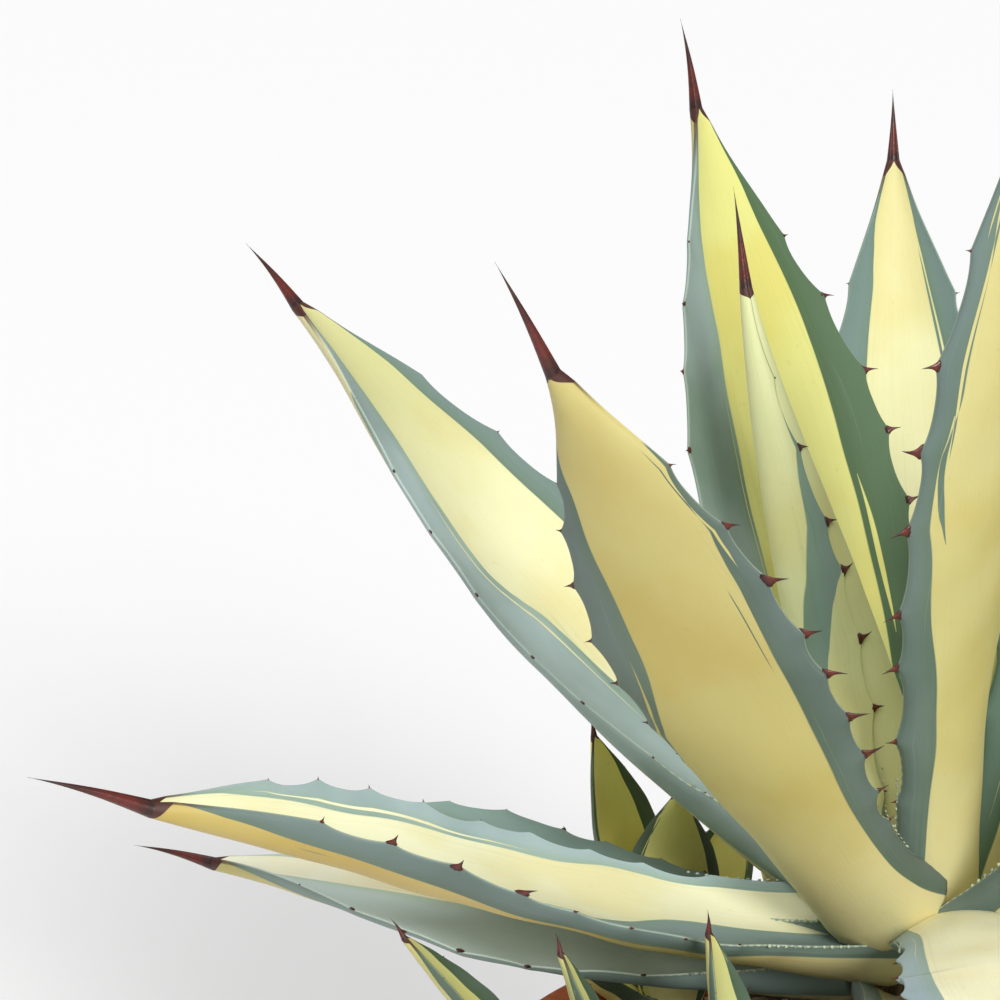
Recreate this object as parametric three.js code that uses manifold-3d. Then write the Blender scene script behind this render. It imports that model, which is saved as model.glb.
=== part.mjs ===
// A potted century plant: a rosette of thick, channelled leaves with toothed margins and horny
// points, offsets growing round it, and the soil and clay pot that it stands in.
// Millimetres, +Z up. The origin is the middle of the underside of the pot.

import * as THREE from "three";
import { mergeVertices } from "three/addons/utils/BufferGeometryUtils.js";
import Module from "manifold-3d";

const wasm = await Module();
wasm.setup();

// Driving dimensions
const GAP = 0.35; // clearance between pieces that touch
const SHARPEST = 0.4; // limits how far the clearance reaches past a sharp corner
const WELD = { grid: 0.02, passes: 3 }; // grid that the corners of a cut piece are moved to
const TURN_SIDES = 28; // sides of the pot and of everything else that is turned

const POT = {
  footRadius: 122,
  rimRadius: 186,
  height: 288,
  rimHeight: 40,
  rimStep: 6,
  rimFall: 3,
  wall: 9,
  floor: 15,
  floorRound: 7,
  drains: 3,
  drainRadius: 8,
  drainsFromAxis: 64,
};
const SOIL = { level: 266, relief: 2.5, dome: 7, rings: 4, spokes: 28 };
const STEM = {
  footRadius: 27,
  topRadius: 15,
  top: 356,
  depth: 60, // how far its foot lies below the soil's level
  sides: 12,
  scars: 5,
  scarDepth: 2.4,
};

const LEAF = {
  edge: 1.2, // thickness of the blade along its margin
  roundness: 0.7, // how soon the blade thins from the midrib to the margin
  point: 0.042, // width of the leaf where its horny point starts, as a share of its full width
  scallop: 2.6, // depth of the hollow between two marginal teeth
  tooth: 5.4, // reach of a marginal tooth beyond the margin
  toothBase: 2.4, // half the length of a tooth along the margin
  firstTooth: 0.2, // share of the length where the teeth start
  lastTooth: 0.84,
  toothStray: 0.3, // how far a tooth strays from an even spacing, as a share of that spacing
  leastTooth: 0.5, // size of the smallest tooth against the largest
  stations: 8, // divisions of the faces from base to tip
};
const SPINE = { neckAt: 0.35, neckWidth: 0.56 }; // the horny point narrows faster up to its neck
const LEAST_FOLD = 2; // degrees; a blade is never quite flat
const MIDRIB_STATIONS = 48;
const LEAF_SEED = 40;

// Share of the full width, and thickness in millimetres, from the base of a leaf to its tip
const OUTLINE = [
  [0.0, 0.7], [0.07, 0.62], [0.18, 0.66], [0.34, 0.86], [0.5, 0.995],
  [0.58, 1.0], [0.72, 0.86], [0.86, 0.52], [0.95, 0.215], [1.0, LEAF.point],
];
// The bud leaf, rolled up on itself, is widest near its base
const ROLLED_OUTLINE = [
  [0.0, 0.8], [0.07, 0.8], [0.2, 0.95], [0.35, 1.0], [0.5, 0.95],
  [0.65, 0.73], [0.75, 0.52], [0.87, 0.27], [0.95, 0.12], [1.0, LEAF.point],
];
const THICKNESS = [[0, 18], [0.1, 15], [0.25, 11], [0.5, 7], [0.8, 4.8], [1, 3.4]];

// The leaves from the bud outwards. az: compass direction of the leaf seen from above, 0 along +X;
// rise: its slope at the base, the middle and the tip; fold: half the angle that its channel
// turns through at those places, below 0 where the blade is domed instead; sway: how far it
// swings sideways by the tip; roll: its twist at base and tip; seat: where its base sits, as
// distance from the axis and height.
const LEAVES = [
  { name: "leaf_bud", az: 150.3, sway: 4.7, length: 265.5, width: 113.4, rise: [69.2, 66.2, 81.3],
    fold: [165, 222, 150], spiral: 0.15, roll: [-81.2, -36.7], seat: [-0.9, 367.3], spine: 42, teeth: 7,
    thick: 0.42, rolled: true },
  { name: "leaf_heart", az: 20, sway: 4, length: 262, width: 84, rise: [76, 78, 80],
    fold: [110, 96, 80], roll: [0, 5], seat: [14, 360], spine: 40, teeth: 6 },
  { name: "leaf_back_tall", az: 122, sway: 11, length: 353, width: 108, rise: [46, 62, 70],
    fold: [59, 32, 20], roll: [-27, 22], seat: [18, 368], spine: 40, teeth: 8 },
  { name: "leaf_back_right", az: 93, sway: 8.2, length: 381.8, width: 88, rise: [39, 43.9, 76.9],
    fold: [61, 38, 42], roll: [-2, 0], seat: [24, 354], spine: 33, teeth: 8 },
  { name: "leaf_front_right", az: 279.7, sway: 13.9, length: 379, width: 86.4, rise: [82.4, 65, 95.2],
    fold: [79.3, 23.6, 43.8], roll: [70.1, 17.9], seat: [14, 361], spine: 46, teeth: 8 },
  { name: "leaf_front_left", az: 241.4, sway: -24.3, length: 320.4, width: 90.6, rise: [35.8, 54.7, 59.3],
    fold: [90.9, 8.8, 33.2], roll: [9, 25.3], seat: [42, 376], spine: 48, teeth: 9 },
  { name: "leaf_left_high", az: 155.5, sway: 6.9, length: 361.8, width: 111.7, rise: [17.7, 42.5, 43.4],
    fold: [84.8, 29, 36.3], roll: [-10.6, 1.7], seat: [23.5, 366.9], spine: 36, teeth: 8 },
  { name: "leaf_right_tall", az: 10, sway: 0, length: 350, width: 98, rise: [48, 58, 66],
    fold: [58, 38, 34], roll: [4, 2], seat: [24, 362], spine: 44, teeth: 6 },
  { name: "leaf_behind_tall", az: 46, sway: -4, length: 345, width: 98, rise: [38, 50, 60],
    fold: [60, 40, 34], roll: [-4, 4], seat: [26, 356], spine: 42, teeth: 6 },
  { name: "leaf_left_low", az: 213, sway: -3, length: 330, width: 102, rise: [10, 19, 20],
    fold: [43, 25, 98], roll: [-9, 0], seat: [26, 356], spine: 50, teeth: 9 },
  { name: "leaf_right_front", az: 315, sway: 18, length: 338, width: 100, rise: [43, 43, 44],
    fold: [66, 36, 32], roll: [28, 6], seat: [30, 371], spine: 46, teeth: 8 },
  { name: "leaf_front_low", az: 280, sway: 6, length: 318, width: 88, rise: [20, 0, -16],
    fold: [-42, 5, 24], roll: [10, 4], seat: [32, 374], spine: 46, teeth: 8 },
  { name: "leaf_left_middle", az: 181, sway: 4, length: 214, width: 96, rise: [5, 15, 15],
    fold: [56, 12, 60], roll: [8, 5], seat: [26, 350], spine: 40, teeth: 7 },
  { name: "leaf_left_lowest", az: 175, sway: -4, length: 281.5, width: 95, rise: [-9, 6, 5],
    fold: [62, 12, 46], roll: [-18, 9], seat: [30, 343], spine: 37, teeth: 8 },
  { name: "leaf_right_middle", az: 18, sway: 4, length: 340, width: 98, rise: [24, 32, 38],
    fold: [56, 38, 34], roll: [0, 4], seat: [26, 350], spine: 46, teeth: 6 },
  { name: "leaf_behind_middle", az: 72, sway: -6, length: 318, width: 96, rise: [20, 28, 32],
    fold: [56, 38, 40], roll: [6, 2], seat: [26, 350], spine: 44, teeth: 6 },
  { name: "leaf_behind_left", az: 108, sway: -5, length: 280, width: 92, rise: [22, 22, 26],
    fold: [52, 36, 40], roll: [-4, 6], seat: [26, 346], spine: 42, teeth: 6 },
  { name: "leaf_right_low", az: 350, sway: 3, length: 330, width: 96, rise: [8, 10, 6],
    fold: [52, 34, 36], roll: [6, -4], seat: [28, 340], spine: 44, teeth: 6 },
  { name: "leaf_behind_low", az: 44, sway: 4, length: 312, width: 94, rise: [4, 8, 4],
    fold: [52, 32, 36], roll: [-4, 4], seat: [28, 338], spine: 42, teeth: 6 },
  { name: "leaf_front_lowest", az: 272, sway: 4, length: 300, width: 92, rise: [4, -4, -8],
    fold: [50, 30, 34], roll: [4, -4], seat: [30, 334], spine: 42, teeth: 6 },
  { name: "leaf_right_lowest", az: 312, sway: 4, length: 306, width: 92, rise: [2, 2, -4],
    fold: [50, 30, 34], roll: [-4, 4], seat: [30, 334], spine: 42, teeth: 6 },
];

const LEAF_COLOUR = 0xd8cf8e;
const STEM_COLOUR = 0x8a7a52;
const SOIL_COLOUR = 0x4a3a2c;
const POT_COLOUR = 0xb5694a;
// Where the faces of a leaf are divided between its midrib and its margins
const COLUMNS = {
  leaf: [-0.55, 0, 0.55],
  rolled: [-0.86, -0.66, -0.44, -0.22, 0, 0.22, 0.44, 0.66, 0.86],
  offset: [0],
};

// The same draw of numbers every time, between 0 and 1
function randomDraws(seed) {
  let state = seed >>> 0;
  return () => {
    state = (Math.imul(state, 1664525) + 1013904223) >>> 0;
    return state / 4294967296;
  };
}

// A curve through the points that never overshoots them
function smoothCurve(points, t) {
  const last = points.length - 1;
  const slopes = [];
  for (let i = 0; i < last; i++) {
    slopes.push((points[i + 1][1] - points[i][1]) / (points[i + 1][0] - points[i][0]));
  }
  const lean = (i) => {
    if (i === 0) return slopes[0];
    if (i === last) return slopes[last - 1];
    const product = slopes[i - 1] * slopes[i];
    return product <= 0 ? 0 : (2 * product) / (slopes[i - 1] + slopes[i]);
  };
  let i = 0;
  while (i < last - 1 && t > points[i + 1][0]) i += 1;
  const span = points[i + 1][0] - points[i][0];
  const s = Math.min(Math.max((t - points[i][0]) / span, 0), 1);
  const ends = (1 + 2 * s) * (1 - s) ** 2 * points[i][1] + s * s * (3 - 2 * s) * points[i + 1][1];
  return ends + span * s * (1 - s) * ((1 - s) * lean(i) - s * lean(i + 1));
}

// A quadratic through three values, at the base, the middle and the tip
function along([base, middle, tip], t) {
  return base * (2 * t - 1) * (t - 1) + middle * 4 * t * (1 - t) + tip * t * (2 * t - 1);
}

const radians = THREE.MathUtils.degToRad;
const lerp = THREE.MathUtils.lerp;

// Midrib of a leaf: at each station its place, its heading, and the directions across the blade
// and up from its inner face
function midrib(spec, stations) {
  const [out, height] = spec.seat;
  const start = radians(spec.az);
  const origin = spec.origin ?? [0, 0];
  const frames = [];
  const place = new THREE.Vector3(
    origin[0] + out * Math.cos(start), origin[1] + out * Math.sin(start), height);
  let before = null;
  for (let i = 0; i <= stations; i++) {
    const t = i / stations;
    const az = start + radians(spec.sway) * t ** 1.5;
    const rise = radians(along(spec.rise, t));
    const heading = new THREE.Vector3(
      Math.cos(rise) * Math.cos(az), Math.cos(rise) * Math.sin(az), Math.sin(rise));
    if (before) {
      place.addScaledVector(before.clone().add(heading), spec.length / stations / 2);
    }
    const level = new THREE.Vector3(-Math.sin(az), Math.cos(az), 0);
    const over = new THREE.Vector3().crossVectors(heading, level);
    const roll = radians(lerp(spec.roll[0], spec.roll[1], t));
    const across = level.multiplyScalar(Math.cos(roll)).addScaledVector(over, Math.sin(roll));
    const up = new THREE.Vector3().crossVectors(heading, across);
    frames.push({ t, place: place.clone(), heading, across, up });
    before = heading;
  }
  return frames;
}

function frameAt(frames, t) {
  const position = Math.min(Math.max(t, 0), 1) * (frames.length - 1);
  const i = Math.min(Math.floor(position), frames.length - 2);
  const s = position - i;
  const mix = (key) => frames[i][key].clone().lerp(frames[i + 1][key], s);
  return { place: mix("place"), heading: mix("heading"), across: mix("across"), up: mix("up") };
}

// A point of the leaf at t along it and u across it, from -1 to 1, on its inner or outer face
function leafPoint(spec, frames, t, u, outerFace, reach = 0) {
  const frame = frameAt(frames, t);
  const scale = spec.thick ?? 1;
  const half = (spec.width / 2) * smoothCurve(spec.rolled ? ROLLED_OUTLINE : OUTLINE, t);
  const bend = along(spec.fold, t);
  const fold = radians(Math.abs(bend) < LEAST_FOLD ? LEAST_FOLD : bend);
  const radius = (half / fold) * (1 + (spec.spiral ?? 0) * u);
  const angle = u * fold;
  const side = radius * Math.sin(angle) + Math.sign(u) * reach * Math.cos(angle);
  const lift = half / fold - radius * Math.cos(angle) + Math.sign(u) * reach * Math.sin(angle);
  const point = frame.place.addScaledVector(frame.across, side).addScaledVector(frame.up, lift);
  if (outerFace) {
    const full = smoothCurve(THICKNESS, t) * scale;
    const thickness = full * (1 - u * u) ** LEAF.roundness + LEAF.edge * Math.sqrt(scale);
    point.addScaledVector(frame.across, Math.sin(angle) * thickness);
    point.addScaledVector(frame.up, -Math.cos(angle) * thickness);
  }
  return point;
}

// Stations along one margin: level at the base and the tip, hollowed between the teeth
function marginStations(spec, draw) {
  const size = spec.toothScale ?? 1;
  const half = (LEAF.toothBase * size) / spec.length;
  const stations = [{ t: 0, reach: 0 }];
  const span = LEAF.lastTooth - LEAF.firstTooth;
  let last = 0;
  for (let i = 0; i < spec.teeth; i++) {
    const share = (i + LEAF.toothStray * (draw() - 0.5)) / (spec.teeth - 1);
    const t = LEAF.firstTooth + span * share;
    const middleness = Math.sin(Math.PI * Math.min(share + LEAF.firstTooth, 1));
    const grown = size * lerp(LEAF.leastTooth, 1, middleness);
    const hollow = i === 0 ? 0 : -LEAF.scallop * size;
    if (!spec.plain) stations.push({ t: (last + t) / 2, reach: hollow });
    stations.push({ t: t - half, reach: 0 });
    stations.push({ t: t + half * 0.2, reach: LEAF.tooth * grown, tip: true });
    stations.push({ t: t + half, reach: 0 });
    last = t;
  }
  if (!spec.plain) stations.push({ t: (last + 1) / 2, reach: 0 });
  stations.push({ t: 1, reach: 0 });
  return stations;
}

// Triangles between two rows of points that both run from the base of the leaf to its tip
function zip(rowA, rowB, faces) {
  let a = 0;
  let b = 0;
  while (a < rowA.length - 1 || b < rowB.length - 1) {
    const stepA = b === rowB.length - 1 || (a < rowA.length - 1 && rowA[a + 1].t <= rowB[b + 1].t);
    if (stepA) {
      faces.push([rowA[a].id, rowB[b].id, rowA[a + 1].id]);
      a += 1;
    } else {
      faces.push([rowA[a].id, rowB[b].id, rowB[b + 1].id]);
      b += 1;
    }
  }
}

// One leaf as a closed shape. Both faces share one layout of triangles, so a thin waved blade
// keeps its thickness everywhere.
function leafShape(spec, columns, stations) {
  const frames = midrib(spec, MIDRIB_STATIONS);
  const draw = randomDraws(spec.seed);
  const margins = { left: marginStations(spec, draw), right: marginStations(spec, draw) };
  const points = [];
  const faces = [];
  const add = (point) => points.push(point) - 1;

  const levels = Array.from({ length: stations + 1 }, (_, i) => ({ t: i / stations, reach: 0 }));
  const lines = [
    { u: -1, list: margins.left },
    ...columns.map((u) => ({ u, list: levels })),
    { u: 1, list: margins.right },
  ];
  const rows = [];
  for (const outerFace of [false, true]) {
    rows.push(lines.map(({ u, list }, column) => list.map(({ t, reach, tip }, i) => {
      // A tooth comes to one point, so both faces use the same one
      if (tip && outerFace) return { t, id: rows[0][column][i].id };
      return { t, id: add(leafPoint(spec, frames, t, u, outerFace, reach)) };
    })));
  }

  for (const [index, face] of rows.entries()) {
    const found = [];
    for (let column = 0; column < face.length - 1; column++) {
      zip(face[column], face[column + 1], found);
    }
    for (const [a, b, c] of found) faces.push(index === 0 ? [a, c, b] : [a, b, c]);
  }
  for (const side of [0, rows[0].length - 1]) {
    const top = rows[0][side];
    const low = rows[1][side];
    for (let i = 0; i < top.length - 1; i++) {
      const quad = [
        [top[i].id, top[i + 1].id, low[i + 1].id],
        [top[i].id, low[i + 1].id, low[i].id],
      ];
      for (const [a, b, c] of quad) {
        if (a === b || b === c || a === c) continue;
        faces.push(side === 0 ? [a, c, b] : [a, b, c]);
      }
    }
  }

  // The cut end at the base runs from face to face, following the channel
  for (let column = 0; column < rows[0].length - 1; column++) {
    const [a, b] = [rows[0][column][0].id, rows[0][column + 1][0].id];
    const [c, d] = [rows[1][column][0].id, rows[1][column + 1][0].id];
    faces.push([a, b, d], [a, d, c]);
  }

  // The horny point: it narrows fast at first, then runs out long and thin
  const { place, heading } = frameAt(frames, 1);
  const last = (row) => row[row.length - 1].id;
  let loop = [...rows[0].map(last), ...rows[1].map(last).reverse()];
  if (!spec.plain) {
    const foot = new THREE.Vector3();
    loop.forEach((id) => foot.addScaledVector(points[id], 1 / loop.length));
    const neck = loop.map((id) => {
      const point = points[id].clone().sub(foot).multiplyScalar(SPINE.neckWidth).add(foot);
      return add(point.addScaledVector(heading, spec.spine * SPINE.neckAt));
    });
    loop.forEach((a, i) => {
      const j = (i + 1) % loop.length;
      faces.push([a, neck[j], loop[j]], [a, neck[i], neck[j]]);
    });
    loop = neck;
  }
  const tip = add(place.addScaledVector(heading, spec.spine));
  loop.forEach((a, i) => faces.push([loop[(i + 1) % loop.length], a, tip]));

  return shapeOf(points, faces);
}

function shapeOf(points, faces) {
  const geometry = new THREE.BufferGeometry();
  const positions = points.flatMap((point) => point.toArray());
  geometry.setAttribute("position", new THREE.Float32BufferAttribute(positions, 3));
  geometry.setIndex(faces.flat());
  return geometry;
}

// A closed geometry as a solid that can be joined and cut
function solid(geometry) {
  const bare = new THREE.BufferGeometry();
  bare.setAttribute("position", geometry.getAttribute("position"));
  bare.setIndex(geometry.getIndex());
  const merged = mergeVertices(bare, 1e-4);
  const vertProperties = new Float32Array(merged.getAttribute("position").array);
  const triVerts = new Uint32Array(merged.getIndex().array);
  return new wasm.Manifold(new wasm.Mesh({ numProp: 3, vertProperties, triVerts }));
}

// The same closed geometry grown outwards, so that each face moves by about the distance given:
// the clearance round a piece
function swollen(geometry, distance) {
  const grown = geometry.clone();
  const position = geometry.getAttribute("position");
  const index = geometry.getIndex().array;
  const meeting = Array.from({ length: position.count }, () => []);
  const corner = (i) => new THREE.Vector3().fromBufferAttribute(position, i);
  for (let i = 0; i < index.length; i += 3) {
    const ids = [index[i], index[i + 1], index[i + 2]];
    const [a, b, c] = ids.map(corner);
    const normal = b.clone().sub(a).cross(c.clone().sub(a)).normalize();
    ids.forEach((id, k) => {
      const here = [a, b, c][k];
      const one = [b, c, a][k].clone().sub(here);
      const other = [c, a, b][k].clone().sub(here);
      meeting[id].push({ normal, angle: one.angleTo(other) });
    });
  }
  meeting.forEach((found, id) => {
    const way = new THREE.Vector3();
    for (const { normal, angle } of found) way.addScaledVector(normal, angle);
    way.normalize();
    const least = Math.min(...found.map(({ normal }) => normal.dot(way)));
    const moved = corner(id).addScaledVector(way, distance / Math.max(least, SHARPEST));
    grown.getAttribute("position").setXYZ(id, moved.x, moved.y, moved.z);
  });
  return grown;
}

// Only the main body of a cut piece: scraps that a cut leaves are dropped
function largest(body) {
  return body.decompose().sort((a, b) => b.volume() - a.volume())[0];
}

// A cut leaves slivers: corners are moved to a fine grid, so that near ones become one corner.
// Triangles that lose their area, and pairs that then lie back to back, are dropped.
function sliversDropped(geometry) {
  const position = geometry.getAttribute("position");
  for (let i = 0; i < position.array.length; i++) {
    position.array[i] = Math.round(position.array[i] / WELD.grid) * WELD.grid;
  }
  const merged = mergeVertices(geometry, WELD.grid / 4);
  const index = merged.getIndex().array;
  const kept = new Map();
  for (let i = 0; i < index.length; i += 3) {
    const corners = [index[i], index[i + 1], index[i + 2]];
    const key = [...corners].sort((a, b) => a - b).join();
    const flat = new Set(corners).size < 3;
    if (flat || kept.delete(key)) continue;
    kept.set(key, corners);
  }
  merged.setIndex([...kept.values()].flat());
  return merged;
}

// Where more than two triangles share an edge, that edge shrinks to a point
function crowdedEdgesClosed(geometry) {
  const position = geometry.getAttribute("position");
  const index = geometry.getIndex().array;
  const uses = new Map();
  for (let i = 0; i < index.length; i++) {
    const next = i % 3 === 2 ? i - 2 : i + 1;
    const [low, high] = [Math.min(index[i], index[next]), Math.max(index[i], index[next])];
    const key = low + " " + high;
    uses.set(key, { low, high, count: (uses.get(key)?.count ?? 0) + 1 });
  }
  for (const { low, high, count } of uses.values()) {
    if (count < 3) continue;
    position.setXYZ(high, position.getX(low), position.getY(low), position.getZ(low));
  }
}

function welded(body) {
  let result = largest(body);
  for (let pass = 0; pass < WELD.passes; pass++) {
    const geometry = sliversDropped(geometryOf(result));
    crowdedEdgesClosed(geometry);
    result = largest(solid(sliversDropped(geometry)));
  }
  return result;
}

function geometryOf(body) {
  const { vertProperties, triVerts, numProp } = body.getMesh();
  const geometry = new THREE.BufferGeometry();
  const count = vertProperties.length / numProp;
  const positions = new Float32Array(count * 3);
  for (let i = 0; i < count; i++) {
    for (let k = 0; k < 3; k++) positions[3 * i + k] = vertProperties[numProp * i + k];
  }
  geometry.setAttribute("position", new THREE.BufferAttribute(positions, 3));
  geometry.setIndex(Array.from(triVerts));
  return geometry;
}

// A closed body turned about the vertical, from a profile that starts and ends on the axis
function turned(profile, sides) {
  const points = profile.map(([radius, height]) => new THREE.Vector2(radius, height));
  const geometry = new THREE.LatheGeometry(points, sides);
  geometry.rotateX(Math.PI / 2);
  geometry.deleteAttribute("normal");
  geometry.deleteAttribute("uv");
  return mergeVertices(geometry, 1e-3);
}

// Inside of the pot: its radius at a height
function innerRadius(height) {
  const rise = (height - POT.floor) / (POT.height - POT.floor);
  return lerp(POT.footRadius, POT.rimRadius - POT.rimStep, rise) - POT.wall;
}

// The pot: a turned clay wall with a stepped rim and a flat foot with drain holes through it
function potBody() {
  const { height, floor, floorRound, rimFall, rimStep, rimRadius, footRadius } = POT;
  const shoulder = height - POT.rimHeight;
  const outer = (level) => lerp(footRadius, rimRadius - rimStep, level / height);
  const wall = turned([
    [0, 0],
    [footRadius, 0],
    [outer(shoulder), shoulder],
    [outer(shoulder) + rimStep, shoulder + rimFall],
    [rimRadius, height - rimFall],
    [rimRadius - rimFall, height],
    [innerRadius(height), height],
    [innerRadius(floor + floorRound), floor + floorRound],
    [innerRadius(floor) - floorRound, floor],
    [0, floor],
  ], TURN_SIDES);
  let body = solid(wall);
  for (let i = 0; i < POT.drains; i++) {
    const angle = (2 * Math.PI * i) / POT.drains;
    const drain = turned([
      [0, -1], [POT.drainRadius, -1], [POT.drainRadius, floor + 1], [0, floor + 1],
    ], STEM.sides);
    drain.translate(POT.drainsFromAxis * Math.cos(angle), POT.drainsFromAxis * Math.sin(angle), 0);
    body = body.subtract(solid(drain));
  }
  return body;
}

// Height of the soil's lumpy top, which climbs a little towards the stem
function soilHeight(x, y) {
  const out = Math.hypot(x, y) / innerRadius(SOIL.level);
  const broad = Math.sin(x / 17 + 1.3) * Math.cos(y / 13 - 0.4);
  const lumps = broad + 0.6 * Math.sin(x / 7.5 - y / 9 + 2.1);
  return SOIL.level + SOIL.dome * (1 - out * out) + SOIL.relief * lumps * (1 - out ** 6);
}

// The soil: a plug that fills the pot up to its lumpy top
function soilGeometry() {
  const points = [];
  const faces = [];
  const { rings: count, spokes } = SOIL;
  const side = GAP * 1.4;
  const wallRadius = (height) => innerRadius(height) - side;
  const spot = (radius, i, height) => {
    const angle = (2 * Math.PI * i) / spokes;
    const x = radius * Math.cos(angle);
    const y = radius * Math.sin(angle);
    points.push(new THREE.Vector3(x, y, height ?? soilHeight(x, y)));
  };
  points.push(new THREE.Vector3(0, 0, soilHeight(0, 0)));
  for (let ring = 1; ring <= count; ring++) {
    for (let i = 0; i < spokes; i++) spot((wallRadius(SOIL.level) * ring) / count, i);
  }
  const knee = POT.floor + POT.floorRound;
  for (let i = 0; i < spokes; i++) spot(wallRadius(knee), i, knee);
  for (let i = 0; i < spokes; i++) spot(innerRadius(POT.floor) - POT.floorRound - side, i, POT.floor + GAP);
  const bottom = points.push(new THREE.Vector3(0, 0, POT.floor + GAP)) - 1;
  const id = (ring, i) => 1 + (ring - 1) * spokes + (i % spokes);
  for (let i = 0; i < spokes; i++) {
    faces.push([0, id(1, i), id(1, i + 1)]);
    for (let ring = 1; ring < count + 2; ring++) {
      faces.push([id(ring, i), id(ring + 1, i), id(ring + 1, i + 1)]);
      faces.push([id(ring, i), id(ring + 1, i + 1), id(ring, i + 1)]);
    }
    faces.push([id(count + 2, i), bottom, id(count + 2, i + 1)]);
  }
  return shapeOf(points, faces);
}

// The short stem: ringed by the scars of leaves that it has shed
function stemProfile(grow) {
  const foot = SOIL.level - STEM.depth;
  const profile = [[0, foot - grow]];
  profile.push([STEM.footRadius * 0.7 + grow, foot - grow]);
  const rings = STEM.scars * 2;
  for (let i = 0; i <= rings; i++) {
    const share = i / rings;
    const height = lerp(foot + 12, STEM.top - 6, share);
    const radius = lerp(STEM.footRadius, STEM.topRadius, share ** 1.6) - (i % 2) * STEM.scarDepth;
    profile.push([radius + grow, height]);
  }
  profile.push([STEM.topRadius * 0.55 + grow, STEM.top + grow]);
  profile.push([0, STEM.top + grow]);
  return profile;
}

// The offsets: young rosettes that come up through the soil round the parent plant; those of one
// name have grown into one clump. steep: rise of the innermost leaf; turn: its compass direction;
// next: turn from one leaf to the next; lean: how far the offset leans, along X and Y.
const OFFSETS = [
  { name: "offset_back_left_a", at: [-52, 122], size: 1.15, steep: 84, turn: 92, next: 137.5,
    lean: [-0.1, 0.2] },
  { name: "offset_back_left_b", at: [-113, 84], size: 1.33, steep: 84, turn: 140, next: 137.5,
    lean: [-0.2, 0.12] },
  { name: "offset_front_left", at: [-126, -66], size: 1.3, steep: 55, turn: 184, next: 62,
    lean: [-0.1, 0] },
  { name: "offset_front_left", at: [-98, -107], size: 1.14, steep: 74, turn: 178, next: 62,
    lean: [-0.1, -0.05] },
  { name: "offset_front_left", at: [-56, -131], size: 1.24, steep: 84, turn: 160, next: 42,
    lean: [-0.12, -0.05] },
  { name: "offset_behind", at: [62, 112], size: 0.7, steep: 84, turn: 30, next: 137.5,
    lean: [0.1, 0.2] },
  { name: "offset_right", at: [122, -70], size: 0.62, steep: 84, turn: 10, next: 137.5,
    lean: [0.2, -0.1] },
];
const OFFSET = {
  leaves: 4,
  spread: 48, // rise of the outermost leaf
  shorter: 0.34, // by how much the outermost leaf is shorter than the innermost
  length: 92,
  width: 34,
  spine: 11,
  thick: 0.42,
  teeth: 3,
  toothScale: 0.45,
  stations: 3,
  stalkRadius: 7.5,
  collar: 9, // radius of the stalk where it leaves the soil
  collarHeight: 8,
  stalkDepth: 26,
  sides: 8,
  seed: 900,
  seedStep: 20,
};

// The buried stalk of an offset, grown all round by the clearance that its hole leaves
function offsetStalk({ at: [x, y] }, grow, endRadius, endHeight) {
  const ground = soilHeight(x, y);
  const stalk = turned([
    [0, ground - OFFSET.stalkDepth - grow],
    [OFFSET.stalkRadius + grow, ground - OFFSET.stalkDepth - grow],
    [OFFSET.collar + grow, ground + OFFSET.collarHeight],
    [endRadius, ground + endHeight],
    [0, ground + endHeight],
  ], OFFSET.sides);
  stalk.translate(x, y, 0);
  return solid(stalk);
}

function offsetBody(offset, index) {
  const { size, lean, steep: inner, turn, next, at } = offset;
  const ground = soilHeight(...at);
  let body = offsetStalk(offset, 0, 1, 17 * size);
  for (let i = 0; i < OFFSET.leaves; i++) {
    const share = i / (OFFSET.leaves - 1);
    const az = turn + i * next;
    const leaning = 60 * (lean[0] * Math.cos(radians(az)) + lean[1] * Math.sin(radians(az)));
    const steep = lerp(inner, OFFSET.spread, share) - leaning;
    const leaf = leafShape({
      az,
      sway: 6,
      length: OFFSET.length * size * (1 - OFFSET.shorter * share),
      width: OFFSET.width * size,
      rise: [steep - 14, steep, steep + 4],
      fold: [80, 48, 40],
      roll: [0, 0],
      seat: [2 + 2 * share, ground + 14 - 5 * share],
      origin: at,
      spine: OFFSET.spine * size,
      teeth: OFFSET.teeth,
      plain: true,
      toothScale: OFFSET.toothScale,
      thick: OFFSET.thick,
      seed: OFFSET.seed + OFFSET.seedStep * index + i,
    }, COLUMNS.offset, OFFSET.stations);
    body = body.add(solid(leaf));
  }
  return body;
}

function material(colour, roughness) {
  return new THREE.MeshStandardMaterial({ color: colour, roughness, metalness: 0 });
}

const plant = new THREE.Group();
function addPiece(name, geometry, finish) {
  const mesh = new THREE.Mesh(geometry, finish);
  mesh.name = name;
  plant.add(mesh);
}

const leafFinish = material(LEAF_COLOUR, 0.5);
const stemKeep = solid(turned(stemProfile(GAP), STEM.sides));

// Each leaf gives way to the leaves inside it, which it clasps at the base
const placed = [];
LEAVES.forEach((spec, index) => {
  const columns = spec.rolled ? COLUMNS.rolled : COLUMNS.leaf;
  const geometry = leafShape({ ...spec, seed: LEAF_SEED + index }, columns, LEAF.stations);
  let body = solid(geometry).subtract(stemKeep);
  for (const keep of placed) body = body.subtract(keep);
  placed.push(solid(swollen(geometry, GAP)).add(solid(geometry)));
  addPiece(spec.name, geometryOf(welded(body)), leafFinish);
});

const stemFinish = material(STEM_COLOUR, 0.8);
addPiece("stem", geometryOf(solid(turned(stemProfile(0), STEM.sides))), stemFinish);

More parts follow.
